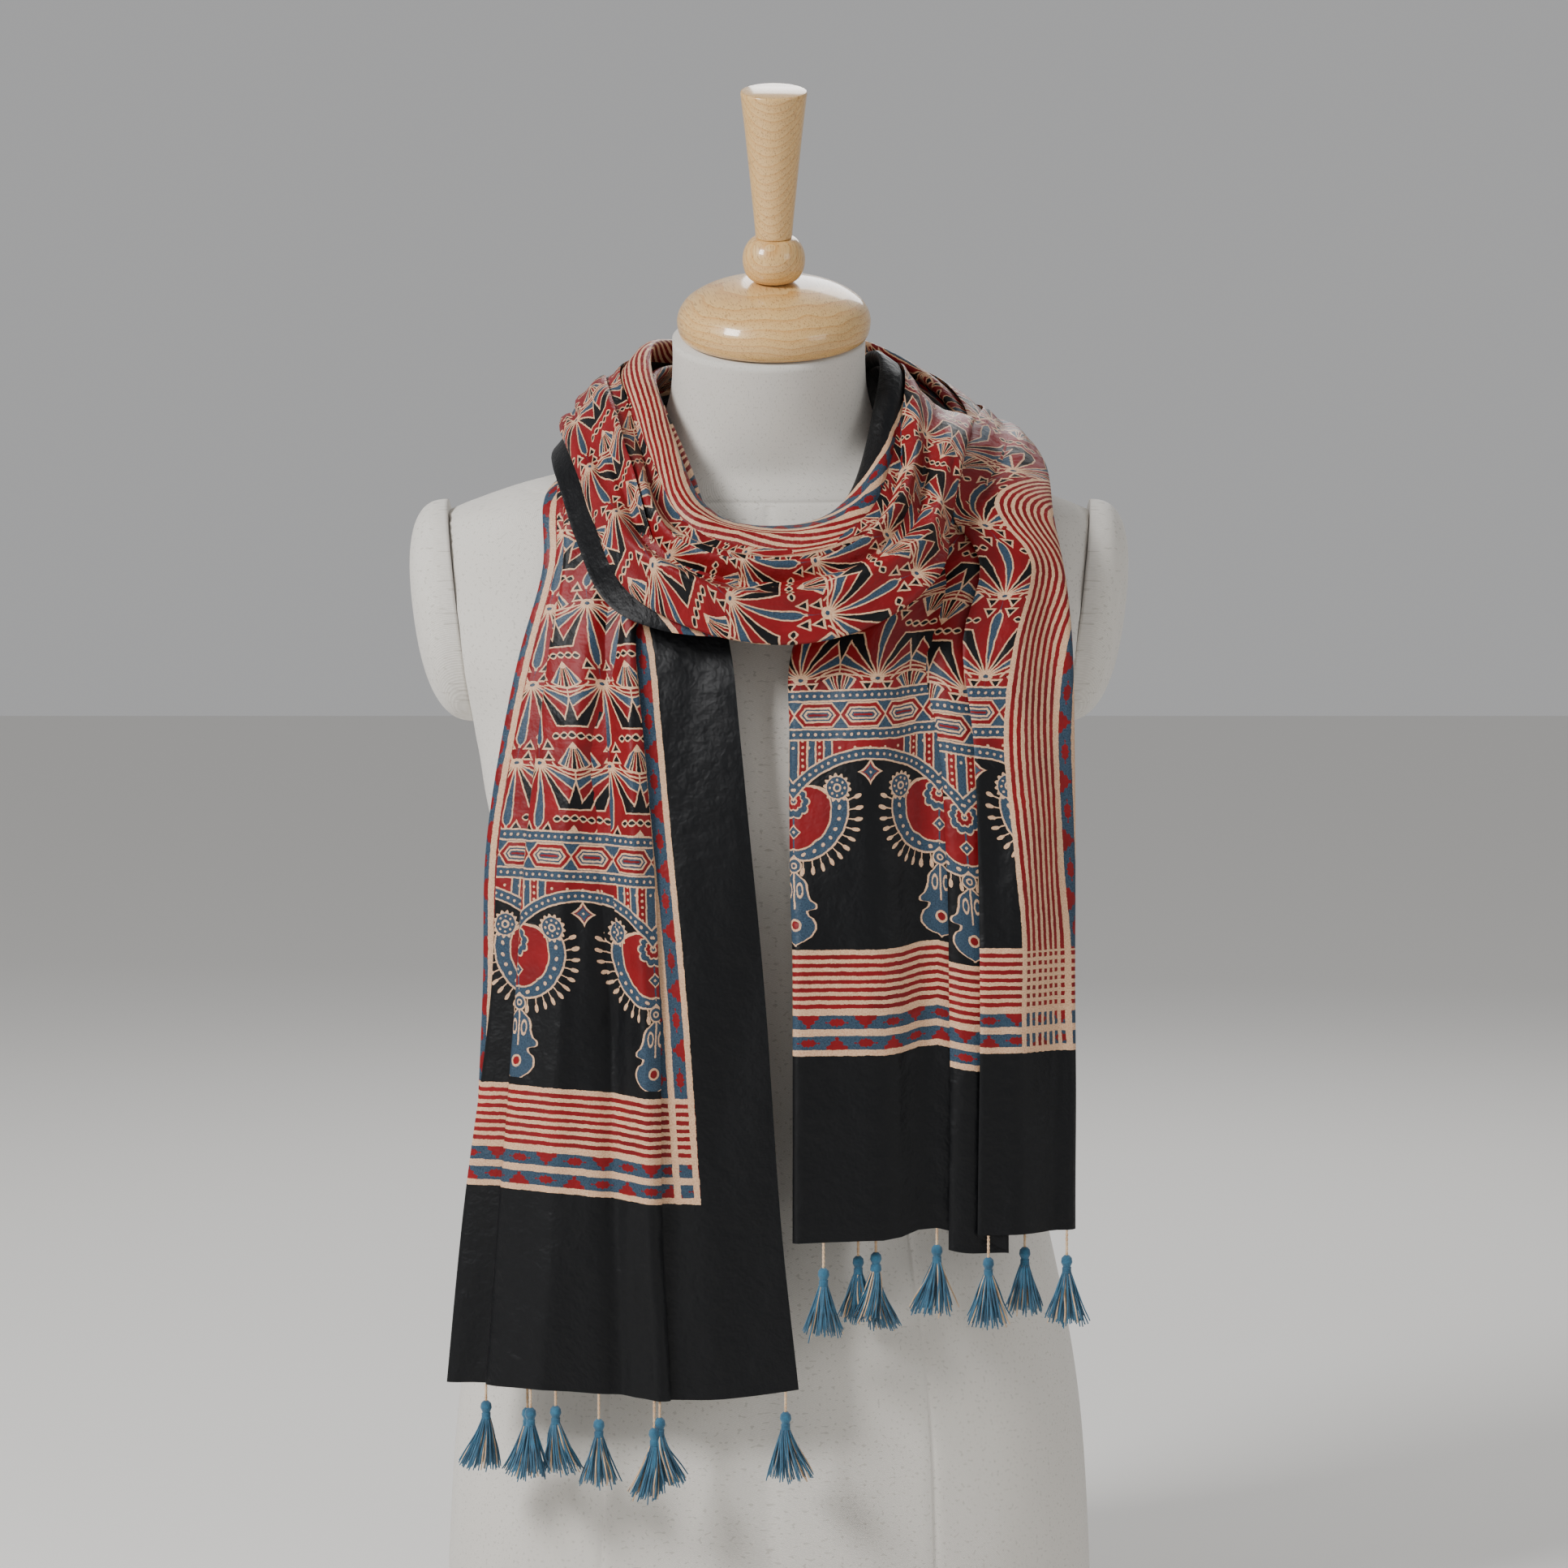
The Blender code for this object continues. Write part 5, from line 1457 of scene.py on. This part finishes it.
# Thread length, how far the skirt opens, and its lean in x and y, one row per tassel from the first edge
LEFT_TASSELS = (
    (13, 6.0, 3, 0),
    (11, 4.0, 6, 3),
    (17, 4.0, -5, -6),
    (12, 5.0, 0, -4),
    (10, 5.0, 4, 4),
    (16, 5.0, 0, 4),
    (11, 5.5, -4, 0),
    (15, 4.5, -3, 5),
)
RIGHT_TASSELS = (
    (12, 5.0, 0, 6),
    (16, 3.5, 6, 5),
    (10, 3.5, -6, -3),
    (16, 5.0, 0, 2),
    (11, 6.0, -3, -3),
    (14, 5.5, 0, -3),
    (16, 5.5, 0, -4),
    (11, 4.5, 0, 4),
)
YARNS = 96
YARN_RADIUS = 0.46
CREAM_YARNS = 0.14


def tubes(paths, radii, sides):
    """Closed tubes along many paths at once. paths is (tubes, steps, 3), radii (tubes, steps)."""
    count, steps = radii.shape
    along = np.gradient(paths, axis=1)
    along = along / np.linalg.norm(along, axis=2, keepdims=True)
    side = np.cross(along, [0.0, 1.0, 0.0])
    side = side / np.maximum(np.linalg.norm(side, axis=2, keepdims=True), 1e-6)
    other = np.cross(along, side)
    turn = np.linspace(0, 2 * np.pi, sides, endpoint=False)
    ring = np.cos(turn)[:, None] * side[:, :, None] - np.sin(turn)[:, None] * other[:, :, None]
    verts = (paths[:, :, None] + ring * radii[:, :, None, None]).reshape(-1, 3)
    quads = ring_quads(steps, sides)[None] + (np.arange(count) * steps * sides)[:, None, None]
    k = np.arange(1, sides - 1)
    first = np.stack([np.zeros_like(k), k + 1, k], axis=-1)
    last = np.stack([np.zeros_like(k), k, k + 1], axis=-1) + (steps - 1) * sides
    caps = np.concatenate([first, last])[None] + (np.arange(count) * steps * sides)[:, None, None]
    return verts, quads.reshape(-1, 4), caps.reshape(-1, 3), quads.shape[1], caps.shape[1]


def tassel_mesh(name, top, thread, spread, lean, seed):
    """Thread, bound head and skirt. A yarn's path is head + side r(u) + lean u^1.6 - drop u, with r
    growing as the yarns part, and a little noise of its own."""
    rng = np.random.default_rng(seed)
    head = np.array(top) - (0, 0, thread)
    k = np.arange(YARNS)
    turn = 2 * np.pi * (k * 0.618 + rng.uniform(-0.05, 0.05, YARNS))
    ring = np.sqrt((k + 0.5) / YARNS)
    side = np.stack([np.cos(turn), np.sin(turn), np.zeros(YARNS)], axis=1)
    u = np.linspace(0, 1, 9)[None, :, None]
    drop = (28.0 + rng.uniform(-2.4, 2.4, YARNS))[:, None, None]
    reach = (2.2 + spread * 2.0 * u**1.05) * ring[:, None, None]
    curl = rng.normal(0, 0.9, (YARNS, 1, 3)) * u**2 + rng.normal(0, 0.3, (YARNS, 1, 3)) * np.sin(6 * u)
    lean_way = np.array([lean[0], lean[1], 0.0]) * u**1.5
    start = head + np.array([0, 0, -7.5])
    paths = start + side[:, None] * reach + lean_way + curl - np.array([0, 0, 1.0]) * drop * u
    radii = np.broadcast_to(YARN_RADIUS * (1 - 0.25 * u[..., 0] ** 4), (YARNS, 9))
    parts = [(tubes(paths, radii, 4), (rng.random(YARNS) < CREAM_YARNS).astype(int))]
    steps = np.linspace(0, 1, 25)
    profile = np.interp(steps, (0, 0.14, 0.4, 0.62, 0.8, 1), (1.5, 3.0, 3.4, 2.3, 2.2, 2.9))
    bulb_height = 2.0 - 10.5 * steps
    bulb = head + np.stack([0 * steps, 0 * steps, bulb_height], axis=1)
    parts.append((tubes(bulb[None], profile[None], 12), np.array([0])))
    wrap_height = np.linspace(-5.2, -8.2, 60)
    wrap_turn = 2 * np.pi * 5 * np.linspace(0, 1, 60)
    wrap = head + np.stack([2.35 * np.cos(wrap_turn), 2.35 * np.sin(wrap_turn), wrap_height], axis=1)
    parts.append((tubes(wrap[None], np.full((1, 60), 0.42), 6), np.array([0])))
    cord_steps = np.linspace(0, 1, 14)
    cord_way = np.stack([0 * cord_steps, 0 * cord_steps, 0.6 - (thread + 0.2) * cord_steps], axis=1)
    for phase in (0.0, np.pi):
        twist = 2 * np.pi * 3 * cord_steps + phase
        swirl = np.stack([0.42 * np.cos(twist), 0.42 * np.sin(twist), 0 * twist], axis=1)
        cord = np.array(top) + cord_way + swirl
        parts.append((tubes(cord[None], np.full((1, 14), 0.5), 6), np.array([1])))
    verts = []
    quads = []
    triangles = []
    quad_slots = []
    triangle_slots = []
    offset = 0
    for (points, quad, triangle, per_quad, per_cap), slots in parts:
        verts.append(points)
        quads.append(quad + offset)
        triangles.append(triangle + offset)
        quad_slots.append(np.repeat(slots, per_quad))
        triangle_slots.append(np.repeat(slots, per_cap))
        offset += len(points)
    verts = np.concatenate(verts)
    mesh = mesh_of(name, verts, np.concatenate(quads), None, np.concatenate(triangles))
    mesh.polygons.foreach_set("material_index", np.concatenate(quad_slots + triangle_slots))
    return mesh


def spun_cotton(name, pale, deep):
    """Spun cotton yarn: matt and fuzzy, its twist showing as fine light and dark along it."""
    material, tree, shader = finish_with(name, Roughness=0.85)
    place = add(tree, "ShaderNodeTexCoord").outputs["Object"]
    fuzz = add(tree, "ShaderNodeTexNoise", place, to={"Scale": 1500.0, "Detail": 2.0})
    tone = add(tree, "ShaderNodeTexNoise", place, to={"Scale": 160.0, "Detail": 1.0})
    uneven = add(tree, "MULTIPLY_ADD", tone, 1.3, -0.75)
    mixed = add(tree, "MULTIPLY_ADD", fuzz, 1.1, uneven, use_clamp=True)
    colour = add(tree, "ShaderNodeMixRGB", mixed, linear(pale), linear(deep))
    tree.links.new(colour.outputs[0], shader.inputs["Base Color"])
    bump = add(tree, "ShaderNodeBump", to={"Strength": 0.5, "Distance": 0.0002, "Height": fuzz})
    tree.links.new(bump.outputs[0], shader.inputs["Normal"])
    shader.inputs["Sheen Weight"].default_value = 0.3
    return material


blue_yarn = spun_cotton("spun_cotton_blue", "#35718f", "#143e57")
cream_yarn = spun_cotton("spun_cotton_cream", "#e2c6a2", "#b98e66")


def thread_top(node):
    """Middle of the top of a plain tassel of the model, in millimetres."""
    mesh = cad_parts[node].data
    corners = np.empty(len(mesh.vertices) * 3)
    mesh.vertices.foreach_get("co", corners)
    corners = corners.reshape(-1, 3) / MM
    return corners[corners[:, 2] > corners[:, 2].max() - 1].mean(axis=0)


for end, row, table in (("a", 0, LEFT_TASSELS), ("b", -1, RIGHT_TASSELS)):
    for k, (thread, spread, lean_x, lean_y) in enumerate(table):
        gap = np.linalg.norm(points[row] - thread_top(f"tassel_{end}{k + 1}"), axis=1)
        top = points[row, gap.argmin()].copy()
        top[2] -= TASSEL_DROP
        name = f"yarn_tassel_{end}{k + 1}"
        mesh = tassel_mesh(name, top, thread, spread, (lean_x, lean_y), 10 * k + (end == "b"))
        tassel = link_piece(name, mesh, blue_yarn, cream_yarn)
        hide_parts(f"tassel_{end}{k + 1}")
        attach(tassel, "root")
